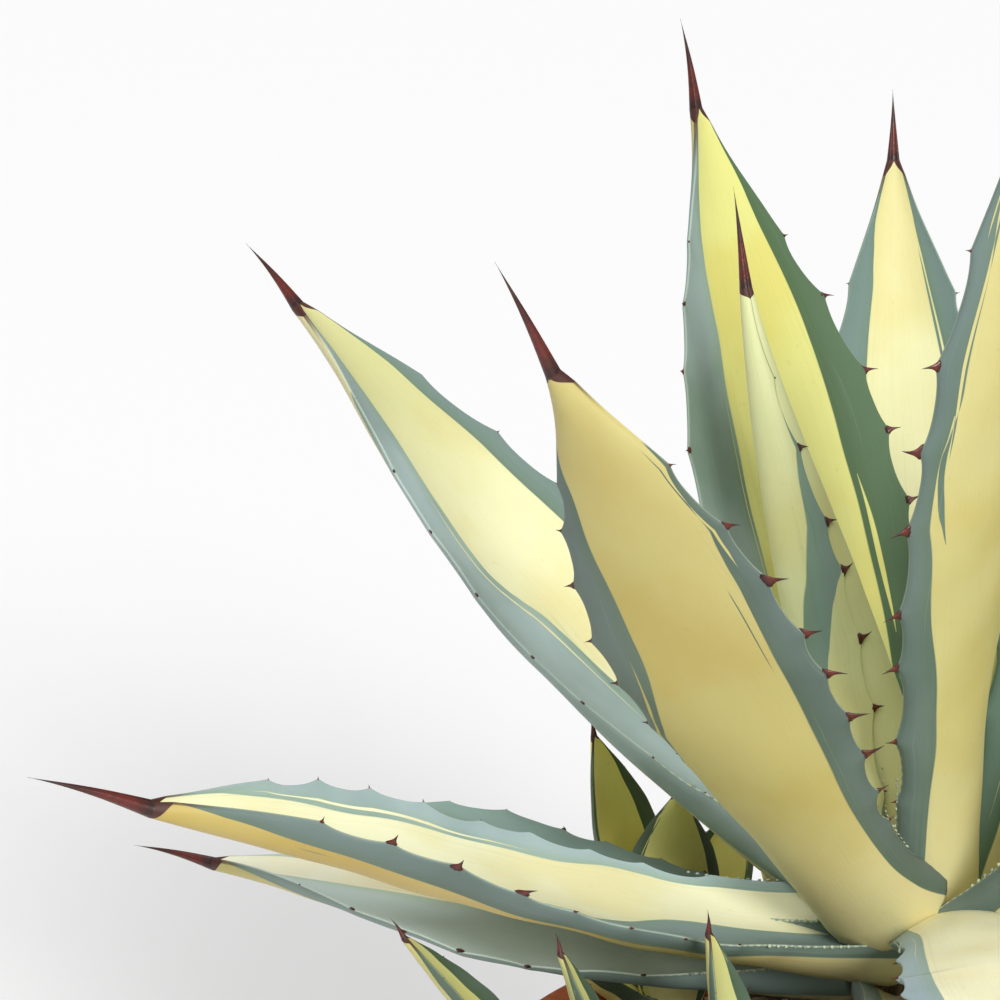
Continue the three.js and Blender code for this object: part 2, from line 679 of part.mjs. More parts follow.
// The soil has a plain hole for the stem and for the stalk of each offset
const stemHole = [...stemProfile(GAP).slice(0, -1), [0, STEM.top + GAP]];
let soilBody = solid(soilGeometry()).subtract(solid(turned(stemHole, STEM.sides)));
const clumps = new Map();
OFFSETS.forEach((offset, index) => {
  const body = offsetBody(offset, index);
  const clump = clumps.get(offset.name);
  clumps.set(offset.name, clump ? clump.add(body) : body);
  const clearance = GAP * 1.3;
  soilBody = soilBody.subtract(offsetStalk(offset, clearance, OFFSET.collar + clearance, 30));
});
for (const [name, body] of clumps) addPiece(name, geometryOf(welded(body)), leafFinish);
addPiece("soil", geometryOf(welded(soilBody)), material(SOIL_COLOUR, 0.95));
addPiece("pot", geometryOf(welded(potBody())), material(POT_COLOUR, 0.85));

export default plant;
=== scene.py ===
import math
import random

import bmesh
import bpy
import numpy as np
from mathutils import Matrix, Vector, noise


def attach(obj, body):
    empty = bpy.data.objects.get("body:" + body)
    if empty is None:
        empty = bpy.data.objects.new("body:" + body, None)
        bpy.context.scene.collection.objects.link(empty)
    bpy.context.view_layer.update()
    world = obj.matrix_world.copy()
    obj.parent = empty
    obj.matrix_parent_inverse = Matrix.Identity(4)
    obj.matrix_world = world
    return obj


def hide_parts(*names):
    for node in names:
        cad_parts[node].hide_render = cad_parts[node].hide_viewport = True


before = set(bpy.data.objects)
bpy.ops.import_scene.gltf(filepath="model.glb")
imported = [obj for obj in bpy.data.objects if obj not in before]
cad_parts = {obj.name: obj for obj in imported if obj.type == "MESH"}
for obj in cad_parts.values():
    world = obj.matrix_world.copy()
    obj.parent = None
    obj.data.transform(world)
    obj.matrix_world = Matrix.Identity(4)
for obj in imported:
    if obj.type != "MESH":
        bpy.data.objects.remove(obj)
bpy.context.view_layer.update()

# The pot: one wall of fired red clay, turned on a wheel, with a thickened rim, a flat foot and
# three drain holes. It is unglazed, so that it has turning lines, pits and a chalky bloom where
# water has dried out of it.

# The sizes of the pieces are in millimetres, and angles are in degrees
MM = 0.001
POT = {"foot_radius": 122, "rim_radius": 186, "height": 288, "rim_height": 40, "rim_step": 6}
POT_RIM_FALL = 3
POT_WALL = 9
POT_FLOOR = 15
POT_FLOOR_ROUND = 7
POT_CORNER = 4
POT_SIDES = 144
POT_FACE_HEIGHT = 9
CORNER_STEPS = 4
DRAINS = 3
DRAIN_RADIUS = 8
DRAINS_FROM_AXIS = 64
DRAIN_SIDES = 32
DRILL_OVERRUN = 2


def lerp(a, b, share):
    return a + (b - a) * share


def new_piece(name, points, faces, node):
    """A piece of the plant, its points in millimetres. It takes the place of the solid called
    node, if one is named."""
    mesh = bpy.data.meshes.new(name)
    mesh.from_pydata([(x * MM, y * MM, z * MM) for x, y, z in points], [], faces)
    mesh.validate()
    piece = bpy.data.objects.new(name, mesh)
    bpy.context.scene.collection.objects.link(piece)
    for polygon in mesh.polygons:
        polygon.use_smooth = True
    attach(piece, "root")
    if node:
        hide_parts(node)
    return piece


def rounded(profile, radius):
    """The same outline with each corner turned into a small arc."""
    points = [profile[0]]
    for before, corner, after in zip(profile, profile[1:], profile[2:]):
        here = Vector(corner)
        back = Vector(before) - here
        on = Vector(after) - here
        reach = min(radius, back.length * 0.45, on.length * 0.45)
        start = here + back.normalized() * reach
        end = here + on.normalized() * reach
        for i in range(CORNER_STEPS + 1):
            s = i / CORNER_STEPS
            point = start * (1 - s) ** 2 + here * 2 * s * (1 - s) + end * s * s
            points.append((point.x, point.y))
    points.append(profile[-1])
    return points


def finer(profile, longest):
    """The same outline with its long straights divided."""
    points = [profile[0]]
    for a, b in zip(profile, profile[1:]):
        pieces = max(1, math.ceil(math.dist(a, b) / longest))
        for i in range(1, pieces + 1):
            points.append((lerp(a[0], b[0], i / pieces), lerp(a[1], b[1], i / pieces)))
    return points


def turned(profile, sides, centre=(0.0, 0.0)):
    """Points and faces of a closed body turned about the vertical through the centre."""
    points = []
    rings = []
    for radius, height in profile:
        if radius < 1e-6:
            points.append((centre[0], centre[1], height))
            rings.append([len(points) - 1] * sides)
            continue
        ring = []
        for i in range(sides):
            angle = 2 * math.pi * i / sides
            x = centre[0] + radius * math.cos(angle)
            y = centre[1] + radius * math.sin(angle)
            points.append((x, y, height))
            ring.append(len(points) - 1)
        rings.append(ring)
    faces = []
    for low, high in zip(rings, rings[1:]):
        for i in range(sides):
            j = (i + 1) % sides
            face = []
            for corner in (low[i], low[j], high[j], high[i]):
                if corner not in face:
                    face.append(corner)
            if len(face) > 2:
                faces.append(face)
    return points, faces


def pot_outer_radius(height):
    return lerp(POT["foot_radius"], POT["rim_radius"] - POT["rim_step"], height / POT["height"])


def pot_inner_radius(height):
    rise = (height - POT_FLOOR) / (POT["height"] - POT_FLOOR)
    return lerp(POT["foot_radius"], POT["rim_radius"] - POT["rim_step"], rise) - POT_WALL


def drill_holes(piece, spots):
    """Cuts the round drain holes through the floor of the pot."""
    drill = bmesh.new()
    low = -DRILL_OVERRUN
    high = POT_FLOOR + DRILL_OVERRUN
    hole = [(0, low), (DRAIN_RADIUS, low), (DRAIN_RADIUS, high), (0, high)]
    for spot in spots:
        hole_points, hole_faces = turned(hole, DRAIN_SIDES, spot)
        corners = [drill.verts.new((x * MM, y * MM, z * MM)) for x, y, z in hole_points]
        for face in hole_faces:
            drill.faces.new([corners[k] for k in face])
    drill_mesh = bpy.data.meshes.new("drain_drill")
    drill.to_mesh(drill_mesh)
    drill.free()
    drill_object = bpy.data.objects.new("drain_drill", drill_mesh)
    bpy.context.scene.collection.objects.link(drill_object)
    cut = piece.modifiers.new("drains", "BOOLEAN")
    cut.operation = "DIFFERENCE"
    cut.object = drill_object
    cut.solver = "EXACT"
    bpy.context.view_layer.update()
    shown = piece.evaluated_get(bpy.context.evaluated_depsgraph_get())
    drained = bpy.data.meshes.new_from_object(shown)
    piece.modifiers.clear()
    piece.data = drained
    bpy.data.objects.remove(drill_object)
    bpy.data.meshes.remove(drill_mesh)


top = POT["height"]
shoulder = top - POT["rim_height"]
knee = POT_FLOOR + POT_FLOOR_ROUND
# From the middle of the foot up the outside, over the rim and down the inside to the floor
pot_profile = rounded([
    (0, 0),
    (POT["foot_radius"], 0),
    (pot_outer_radius(shoulder), shoulder),
    (pot_outer_radius(shoulder) + POT["rim_step"], shoulder + POT_RIM_FALL),
    (POT["rim_radius"], top - POT_RIM_FALL),
    (POT["rim_radius"] - POT_RIM_FALL, top),
    (pot_inner_radius(top), top),
    (pot_inner_radius(knee), knee),
    (pot_inner_radius(POT_FLOOR) - POT_FLOOR_ROUND, POT_FLOOR),
    (0, POT_FLOOR),
], POT_CORNER)
pot_points, pot_faces = turned(finer(pot_profile, POT_FACE_HEIGHT), POT_SIDES)
pot = new_piece("pot_clay", pot_points, pot_faces, "pot")
drain_angles = [2 * math.pi * i / DRAINS for i in range(DRAINS)]
drill_holes(pot, [
    (DRAINS_FROM_AXIS * math.cos(angle), DRAINS_FROM_AXIS * math.sin(angle))
    for angle in drain_angles])


def colour(red, green, blue):
    """A screen colour, 0 to 255, as the shader wants it."""
    def straight(value):
        value = value / 255
        return value / 12.92 if value <= 0.04045 else ((value + 0.055) / 1.055) ** 2.4
    return (straight(red), straight(green), straight(blue), 1.0)


def node_of(tree, kind, **settings):
    made = tree.nodes.new(kind)
    for key, value in settings.items():
        setattr(made, key, value)
    return made


def plug(tree, socket, value):
    if isinstance(value, bpy.types.NodeSocket):
        tree.links.new(value, socket)
    else:
        socket.default_value = value


def calc(tree, operation, a, b=0.0, c=0.0, clamp=False):
    made = node_of(tree, "ShaderNodeMath", operation=operation, use_clamp=clamp)
    plug(tree, made.inputs[0], a)
    plug(tree, made.inputs[1], b)
    plug(tree, made.inputs[2], c)
    return made.outputs[0]


def fade(tree, value, low, high, first=0.0, last=1.0):
    """Runs smoothly from first to last while the value goes from low to high."""
    made = node_of(tree, "ShaderNodeMapRange", interpolation_type="SMOOTHSTEP")
    plug(tree, made.inputs["Value"], value)
    plug(tree, made.inputs["From Min"], low)
    plug(tree, made.inputs["From Max"], high)
    made.inputs["To Min"].default_value = first
    made.inputs["To Max"].default_value = last
    return made.outputs["Result"]


def blend(tree, share, a, b, way="MIX"):
    made = node_of(tree, "ShaderNodeMix", data_type="RGBA", blend_type=way)
    plug(tree, made.inputs[0], share)
    plug(tree, made.inputs[6], a)
    plug(tree, made.inputs[7], b)
    return made.outputs[2]


def grain(tree, vector, scale, detail=2.0, roughness=0.5):
    made = node_of(tree, "ShaderNodeTexNoise")
    plug(tree, made.inputs["Vector"], vector)
    made.inputs["Scale"].default_value = scale
    made.inputs["Detail"].default_value = detail
    made.inputs["Roughness"].default_value = roughness
    return made.outputs["Fac"]


def place_on_object(tree):
    return node_of(tree, "ShaderNodeTexCoord").outputs["Object"]


def stretched(tree, vector, x, y, z):
    made = node_of(tree, "ShaderNodeVectorMath", operation="MULTIPLY")
    plug(tree, made.inputs[0], vector)
    made.inputs[1].default_value = (x, y, z)
    return made.outputs[0]


def finish_of(name):
    """A new material, its node tree and its shader."""
    material = bpy.data.materials.new(name)
    material.use_nodes = True
    tree = material.node_tree
    return material, tree, tree.nodes["Principled BSDF"]


def coat(tree, shader, base, rough):
    """Sets what the surface takes its colour and its roughness from."""
    tree.links.new(base, shader.inputs["Base Color"])
    tree.links.new(rough, shader.inputs["Roughness"])


def relief(tree, shader, height, distance, strength=1.0):
    bump = node_of(tree, "ShaderNodeBump")
    bump.inputs["Strength"].default_value = strength
    bump.inputs["Distance"].default_value = distance
    plug(tree, bump.inputs["Height"], height)
    tree.links.new(bump.outputs["Normal"], shader.inputs["Normal"])


def fired_clay():
    """Bare clay with turning lines, pits and chalky patches."""
    material, tree, shader = finish_of("fired_clay")
    spot = place_on_object(tree)
    broad = grain(tree, spot, 9, 4, 0.6)
    fine = grain(tree, spot, 140, 3, 0.6)
    pits = grain(tree, spot, 420, 2, 0.5)
    lines = grain(tree, stretched(tree, spot, 2, 2, 260), 1.0, 3, 0.6)
    base = blend(tree, fade(tree, broad, 0.35, 0.65), colour(176, 96, 64), colour(198, 122, 84))
    base = blend(tree, fade(tree, fine, 0.45, 0.75, 0, 0.45), base, colour(150, 78, 52))
    chalk = calc(tree, "MULTIPLY", fade(tree, broad, 0.5, 0.72), fade(tree, fine, 0.35, 0.7))
    base = blend(tree, calc(tree, "MULTIPLY", chalk, 0.55), base, colour(214, 188, 168))
    coat(tree, shader, base, fade(tree, fine, 0.2, 0.8, 0.78, 0.95))
    pitted = calc(tree, "MULTIPLY", pits, 0.5)
    relief(tree, shader, calc(tree, "MULTIPLY_ADD", lines, 0.8, pitted), 0.0006, 0.7)
    return material


pot.data.materials.clear()
pot.data.materials.append(fired_clay())

# The soil: gritty potting mix that fills the pot to just below its rim. It is lumpy and climbs
# a little towards the stem.

SOIL_LEVEL = 266
SOIL_RELIEF = 2.5
SOIL_DOME = 7
SOIL_CLEARANCE = 0.49
SOIL_BOTTOM = POT_FLOOR + 0.35
SOIL_RINGS = 58
SOIL_SPOKES = 150


def soil_height(x, y):
    out = math.hypot(x, y) / pot_inner_radius(SOIL_LEVEL)
    lumps = math.sin(x / 17 + 1.3) * math.cos(y / 13 - 0.4)
    lumps += 0.6 * math.sin(x / 7.5 - y / 9 + 2.1)
    return SOIL_LEVEL + SOIL_DOME * (1 - out * out) + SOIL_RELIEF * lumps * (1 - out ** 6)


def crumbs(x, y):
    """Small lumps of the mix, by which its surface rises and falls."""
    small = noise.noise(Vector((x / 6, y / 6, 3.0)))
    smaller = noise.noise(Vector((x / 2.4, y / 2.4, 8.0)))
    return 1.5 * small + 0.9 * smaller


soil_edge = pot_inner_radius(SOIL_LEVEL) - SOIL_CLEARANCE
soil_points = [(0, 0, soil_height(0, 0))]
for ring in range(1, SOIL_RINGS + 1):
    radius = soil_edge * ring / SOIL_RINGS
    for i in range(SOIL_SPOKES):
        angle = 2 * math.pi * i / SOIL_SPOKES
        x = radius * math.cos(angle)
        y = radius * math.sin(angle)
        soil_points.append((x, y, soil_height(x, y) + crumbs(x, y)))
for radius, height in [
    (pot_inner_radius(knee) - SOIL_CLEARANCE, knee),
    (pot_inner_radius(POT_FLOOR) - POT_FLOOR_ROUND - SOIL_CLEARANCE, SOIL_BOTTOM),
]:
    for i in range(SOIL_SPOKES):
        angle = 2 * math.pi * i / SOIL_SPOKES
        soil_points.append((radius * math.cos(angle), radius * math.sin(angle), height))
soil_points.append((0, 0, SOIL_BOTTOM))
soil_faces = []
for i in range(SOIL_SPOKES):
    j = (i + 1) % SOIL_SPOKES
    soil_faces.append((0, 1 + i, 1 + j))
    for ring in range(SOIL_RINGS + 1):
        low = 1 + ring * SOIL_SPOKES
        high = low + SOIL_SPOKES
        soil_faces.append((low + i, high + i, high + j, low + j))
    last = 1 + (SOIL_RINGS + 1) * SOIL_SPOKES
    soil_faces.append((last + i, len(soil_points) - 1, last + j))
soil = new_piece("soil_mix", soil_points, soil_faces, "soil")


def potting_mix():
    """Dark crumbly mix with paler crumbs."""
    material, tree, shader = finish_of("potting_mix")
    spot = place_on_object(tree)
    broad = grain(tree, spot, 60, 4, 0.7)
    fine = grain(tree, spot, 420, 4, 0.7)
    base = blend(tree, fade(tree, broad, 0.35, 0.65), colour(44, 34, 27), colour(82, 64, 48))
    base = blend(tree, fade(tree, fine, 0.55, 0.75), base, colour(120, 100, 80))
    coat(tree, shader, base, fade(tree, fine, 0.3, 0.7, 0.85, 1.0))
    relief(tree, shader, calc(tree, "ADD", broad, fine), 0.002)
    return material


soil.data.materials.append(potting_mix())

# The grit: crushed stone and pumice in grains of 2 to 7 mm, strewn over the soil as a dry top
# layer. It lies loose, each grain a little sunk in the mix.

# Half sizes of the smallest and the largest grain
GRAIN_SIZES = (1.3, 3.4)
GRAINS = 1500
GRIT_INNER_RADIUS = 32
GRIT_EDGE_GAP = 3
GRIT_SEED = 7

draw = random.Random(GRIT_SEED)
ball = bmesh.new()
bmesh.ops.create_icosphere(ball, subdivisions=1, radius=1.0)
ball_points = [tuple(vertex.co) for vertex in ball.verts]
ball_faces = [[vertex.index for vertex in face.verts] for face in ball.faces]
ball.free()
grit_points = []
grit_faces = []
grit_tones = []
for _ in range(GRAINS):
    radius = (soil_edge - GRIT_EDGE_GAP) * math.sqrt(draw.random())
    angle = draw.uniform(0, 2 * math.pi)
    x = radius * math.cos(angle)
    y = radius * math.sin(angle)
    if radius < GRIT_INNER_RADIUS:
        continue
    size = lerp(*GRAIN_SIZES, draw.random() ** 2.2)
    squeeze = [size * draw.uniform(0.75, 1.15) for _ in range(2)] + [size * draw.uniform(0.5, 0.8)]
    turn = draw.uniform(0, math.pi)
    tone = draw.random()
    ground = soil_height(x, y) + crumbs(x, y) + squeeze[2] * 0.35
    first = len(grit_points)
    for px, py, pz in ball_points:
        rough = 1 + draw.uniform(-0.2, 0.16)
        px, py = px * math.cos(turn) - py * math.sin(turn), px * math.sin(turn) + py * math.cos(turn)
        grit_points.append((
            x + px * squeeze[0] * rough, y + py * squeeze[1] * rough, ground + pz * squeeze[2] * rough))
        grit_tones.append(tone)
    grit_faces += [[first + k for k in face] for face in ball_faces]
grit = new_piece("soil_grit", grit_points, grit_faces, None)
for polygon in grit.data.polygons:
    polygon.use_smooth = False


def give_values(piece, name, values):
    """A number for each point of a piece, which its material reads."""
    layer = piece.data.attributes.new(name, "FLOAT", "POINT")
    layer.data.foreach_set("value", np.asarray(values, dtype=np.float32))


def read_value(tree, name):
    return node_of(tree, "ShaderNodeAttribute", attribute_name=name).outputs["Fac"]


def crushed_stone():
    """Grains of grey and buff stone, each of its own tone."""
    material, tree, shader = finish_of("crushed_stone")
    tone = read_value(tree, "tone")
    fine = grain(tree, place_on_object(tree), 700, 3, 0.6)
    base = blend(tree, fade(tree, tone, 0.1, 0.5), colour(70, 62, 54), colour(150, 138, 120))
    base = blend(tree, fade(tree, tone, 0.6, 0.9), base, colour(186, 170, 146))
    base = blend(tree, fade(tree, fine, 0.4, 0.7, 0, 0.5), base, colour(96, 80, 64))
    coat(tree, shader, base, fade(tree, fine, 0.3, 0.7, 0.75, 0.95))
    relief(tree, shader, fine, 0.0004)
    return material


give_values(grit, "tone", grit_tones)
grit.data.materials.append(crushed_stone())

# The stem: a short woody stem, ringed by the scars of leaves that it has shed. The leaves clasp
# its upper part and it stands in the soil by its foot.

STEM = {"foot_radius": 27, "top_radius": 15, "top": 356, "depth": 60, "scars": 5}
# Plain ends below the lowest scar and above the highest, and how far they taper
STEM_ENDS = (12, 6)
STEM_TAPERS = (0.7, 0.55)
STEM_SCAR_DEPTH = 2.4
STEM_CORNER = 3
STEM_FACE_HEIGHT = 3
STEM_SIDES = 72


def stem_profile():
    foot = SOIL_LEVEL - STEM["depth"]
    profile = [(0, foot), (STEM["foot_radius"] * STEM_TAPERS[0], foot)]
    rings = STEM["scars"] * 2
    for i in range(rings + 1):
        share = i / rings
        height = lerp(foot + STEM_ENDS[0], STEM["top"] - STEM_ENDS[1], share)
        radius = lerp(STEM["foot_radius"], STEM["top_radius"], share ** 1.6)
        profile.append((radius - (i % 2) * STEM_SCAR_DEPTH, height))
    profile.append((STEM["top_radius"] * STEM_TAPERS[1], STEM["top"]))
    profile.append((0, STEM["top"]))
    return profile


stem_points, stem_faces = turned(
    finer(rounded(stem_profile(), STEM_CORNER), STEM_FACE_HEIGHT), STEM_SIDES)
worn = []
for x, y, z in stem_points:
    fibre = noise.noise(Vector((x / 3, y / 3, z / 14)))
    swell = 1 + 0.03 * fibre
    worn.append((x * swell, y * swell, z))
stem = new_piece("stem_wood", worn, stem_faces, "stem")


def stem_bark():
    """Dry brown fibres along the stem, with greenish patches."""
    material, tree, shader = finish_of("stem_bark")
    spot = place_on_object(tree)
    fibre = grain(tree, stretched(tree, spot, 1, 1, 0.15), 320, 4, 0.6)
    broad = grain(tree, spot, 40, 3, 0.5)
    base = blend(tree, fade(tree, fibre, 0.35, 0.65), colour(96, 80, 54), colour(158, 142, 104))
    base = blend(tree, fade(tree, broad, 0.5, 0.7, 0, 0.6), base, colour(120, 124, 88))
    coat(tree, shader, base, fade(tree, fibre, 0.3, 0.7, 0.7, 0.95))
    relief(tree, shader, fibre, 0.0012)
    return material


stem.data.materials.append(stem_bark())

# The leaves: each is one thick channelled blade of living tissue, with a pale stripe along the
# middle, blue-green waxy margins, red-brown horny teeth on the margins and a horny point. They
# grow in turn from the stem and clasp it, and each clasps the younger ones inside it.

LEAF_EDGE = 1.2
LEAF_ROUNDNESS = 0.7
LEAF_POINT = 0.042
LEAF_SCALLOP = 2.9
RIM_SWELL = 0.45
SPINE_BEND = 0.8
TOOTH_BASE = 2.4
FIRST_TOOTH = 0.2
LAST_TOOTH = 0.84
FIRST_BEAD = 0.1
LAST_BEAD = 0.23
TOOTH_STRAY = 0.3
LEAST_TOOTH = 0.35
STUNTED = 0.35
LEAST_FOLD = 2
LEAF_SEED = 40
MIDRIB_STATIONS = 48
LEAF_ROWS = 190
LEAF_COLUMNS = 27
SPINE_ROWS = 22

# Share of the full width, from the base of a leaf to its tip
OUTLINE = [
    (0.0, 0.7), (0.07, 0.62), (0.18, 0.66), (0.34, 0.86), (0.5, 0.995),
    (0.58, 1.0), (0.72, 0.86), (0.86, 0.52), (0.95, 0.215), (1.0, LEAF_POINT),
]
# The bud leaf, rolled up on itself, is widest near its base
ROLLED_OUTLINE = [
    (0.0, 0.8), (0.07, 0.8), (0.2, 0.95), (0.35, 1.0), (0.5, 0.95),
    (0.65, 0.73), (0.75, 0.52), (0.87, 0.27), (0.95, 0.12), (1.0, LEAF_POINT),
]
# Thickness at the midrib, from the base to the tip
THICKNESS = [(0, 18), (0.1, 15), (0.25, 11), (0.5, 7), (0.8, 4.8), (1, 3.4)]

# From the bud outwards. az: compass direction, 0 along +X; sway: how far it swings from there
# towards its tip; length: without the horny point, spine; rise: slope at the base, the middle and
# the tip; fold: half the angle of its channel there, below 0 where the blade is domed; spiral: how
# much wider the right half is rolled; roll: its twist at the base and the tip; seat: where its
# base sits, as distance from the axis and height; teeth: how many a margin has; mild: how big
# they are on the left and the right margin, against those of a plain leaf; small_until: up to
# where along the leaf they stay stunted; thick: its share of a plain leaf's thickness; columns:
# points across a face, where a rolled leaf needs more or less; skin: which finish it has.
LEAVES = [
    dict(name="leaf_bud", az=150.3, sway=4.7, length=265.5, width=113.4, rise=(69.2, 66.2, 81.3),
         fold=(165, 222, 192), spiral=0.15, roll=(-81.2, -36.7), seat=(-0.9, 367.3), spine=42,
         teeth=7, thick=0.42, rolled=True, columns=61, skin="bud"),
    dict(name="leaf_heart", az=20, sway=4, length=262, width=84, rise=(76, 78, 80),
         fold=(110, 96, 80), roll=(0, 5), seat=(14, 360), spine=40, teeth=6, columns=33,
         skin="young"),
    dict(name="leaf_back_tall", az=122, sway=11, length=353, width=108, rise=(46, 62, 70),
         fold=(59, 32, 20), roll=(-27, 22), seat=(18, 368), spine=40, teeth=8, mild=(1, 0.6),
         skin="young"),
    dict(name="leaf_back_right", az=93, sway=8.2, length=381.8, width=88, rise=(39, 43.9, 76.9),
         fold=(61, 38, 42), roll=(-2, 0), seat=(24, 354), spine=33, teeth=8, skin="upright"),
    dict(name="leaf_front_right", az=279.7, sway=13.9, length=379, width=86.4,
         rise=(82.4, 65, 95.2), fold=(79.3, 23.6, 43.8), roll=(70.1, 17.9), seat=(14, 361),
         spine=46, teeth=8, mild=(1.25, 1), skin="upright"),
    dict(name="leaf_front_left", az=241.4, sway=-24.3, length=320.4, width=90.6,
         rise=(35.8, 54.7, 59.3), fold=(90.9, 8.8, 33.2), roll=(9, 25.3), seat=(42, 376),
         spine=48, teeth=9, mild=(0.7, 1.25), skin="golden"),
    dict(name="leaf_left_high", az=155.5, sway=6.9, length=361.8, width=111.7,
         rise=(17.7, 42.5, 43.4), fold=(84.8, 29, 36.3), roll=(-10.6, 1.7), seat=(23.5, 366.9),
         spine=36, teeth=8, mild=(0.35, 0.5), skin="arched"),
    dict(name="leaf_right_tall", az=10, sway=0, length=350, width=98, rise=(48, 58, 66),
         fold=(58, 38, 34), roll=(4, 2), seat=(24, 362), spine=44, teeth=6, skin="young"),
    dict(name="leaf_behind_tall", az=46, sway=-4, length=345, width=98, rise=(38, 50, 60),
         fold=(60, 40, 34), roll=(-4, 4), seat=(26, 356), spine=42, teeth=6, skin="young"),
    dict(name="leaf_left_low", az=213, sway=-3, length=330, width=102, rise=(10, 19, 20),
         fold=(43, 25, 98), roll=(-9, 0), seat=(26, 356), spine=50, teeth=9, mild=(0.35, 1.2),
         small_until=0.58, skin="low"),
    dict(name="leaf_right_front", az=315, sway=18, length=338, width=100, rise=(43, 43, 44),
         fold=(66, 36, 32), roll=(28, 6), seat=(30, 371), spine=46, teeth=8, skin="upright"),
    dict(name="leaf_front_low", az=280, sway=6, length=318, width=88, rise=(20, 0, -16),
         fold=(-42, 5, 24), roll=(10, 4), seat=(32, 374), spine=46, teeth=8, mild=(0.4, 1),
         skin="powdery"),
    dict(name="leaf_left_middle", az=181, sway=4, length=214, width=96, rise=(5, 15, 15),
         fold=(56, 12, 60), roll=(8, 5), seat=(26, 350), spine=40, teeth=7, mild=(0.4, 0.4),
         skin="dark"),
    # This leaf's skin is painted lighter than its neighbours' to make up for the shade it lies in
    dict(name="leaf_left_lowest", az=175, sway=-4, length=281.5, width=95, rise=(-9, 6, 5),
         fold=(62, 12, 46), roll=(-18, 9), seat=(30, 343), spine=37, teeth=8, mild=(0.5, 0.7),
         skin="lightened_against_shade"),
    dict(name="leaf_right_middle", az=18, sway=4, length=340, width=98, rise=(24, 32, 38),
         fold=(56, 38, 34), roll=(0, 4), seat=(26, 350), spine=46, teeth=6, skin="upright"),
    dict(name="leaf_behind_middle", az=72, sway=-6, length=318, width=96, rise=(20, 28, 32),
         fold=(56, 38, 40), roll=(6, 2), seat=(26, 350), spine=44, teeth=6, skin="upright"),
    dict(name="leaf_behind_left", az=108, sway=-5, length=280, width=92, rise=(22, 22, 26),
         fold=(52, 36, 40), roll=(-4, 6), seat=(26, 346), spine=42, teeth=6, skin="low"),
    dict(name="leaf_right_low", az=350, sway=3, length=330, width=96, rise=(8, 10, 6),
         fold=(52, 34, 36), roll=(6, -4), seat=(28, 340), spine=44, teeth=6, skin="low"),
    dict(name="leaf_behind_low", az=44, sway=4, length=312, width=94, rise=(4, 8, 4),
         fold=(52, 32, 36), roll=(-4, 4), seat=(28, 338), spine=42, teeth=6, skin="low"),
    dict(name="leaf_front_lowest", az=272, sway=4, length=300, width=92, rise=(4, -4, -8),
         fold=(50, 30, 34), roll=(4, -4), seat=(30, 334), spine=42, teeth=6, skin="low"),
    dict(name="leaf_right_lowest", az=312, sway=4, length=306, width=92, rise=(2, 2, -4),
         fold=(50, 30, 34), roll=(-4, 4), seat=(30, 334), spine=42, teeth=6, skin="low"),
]

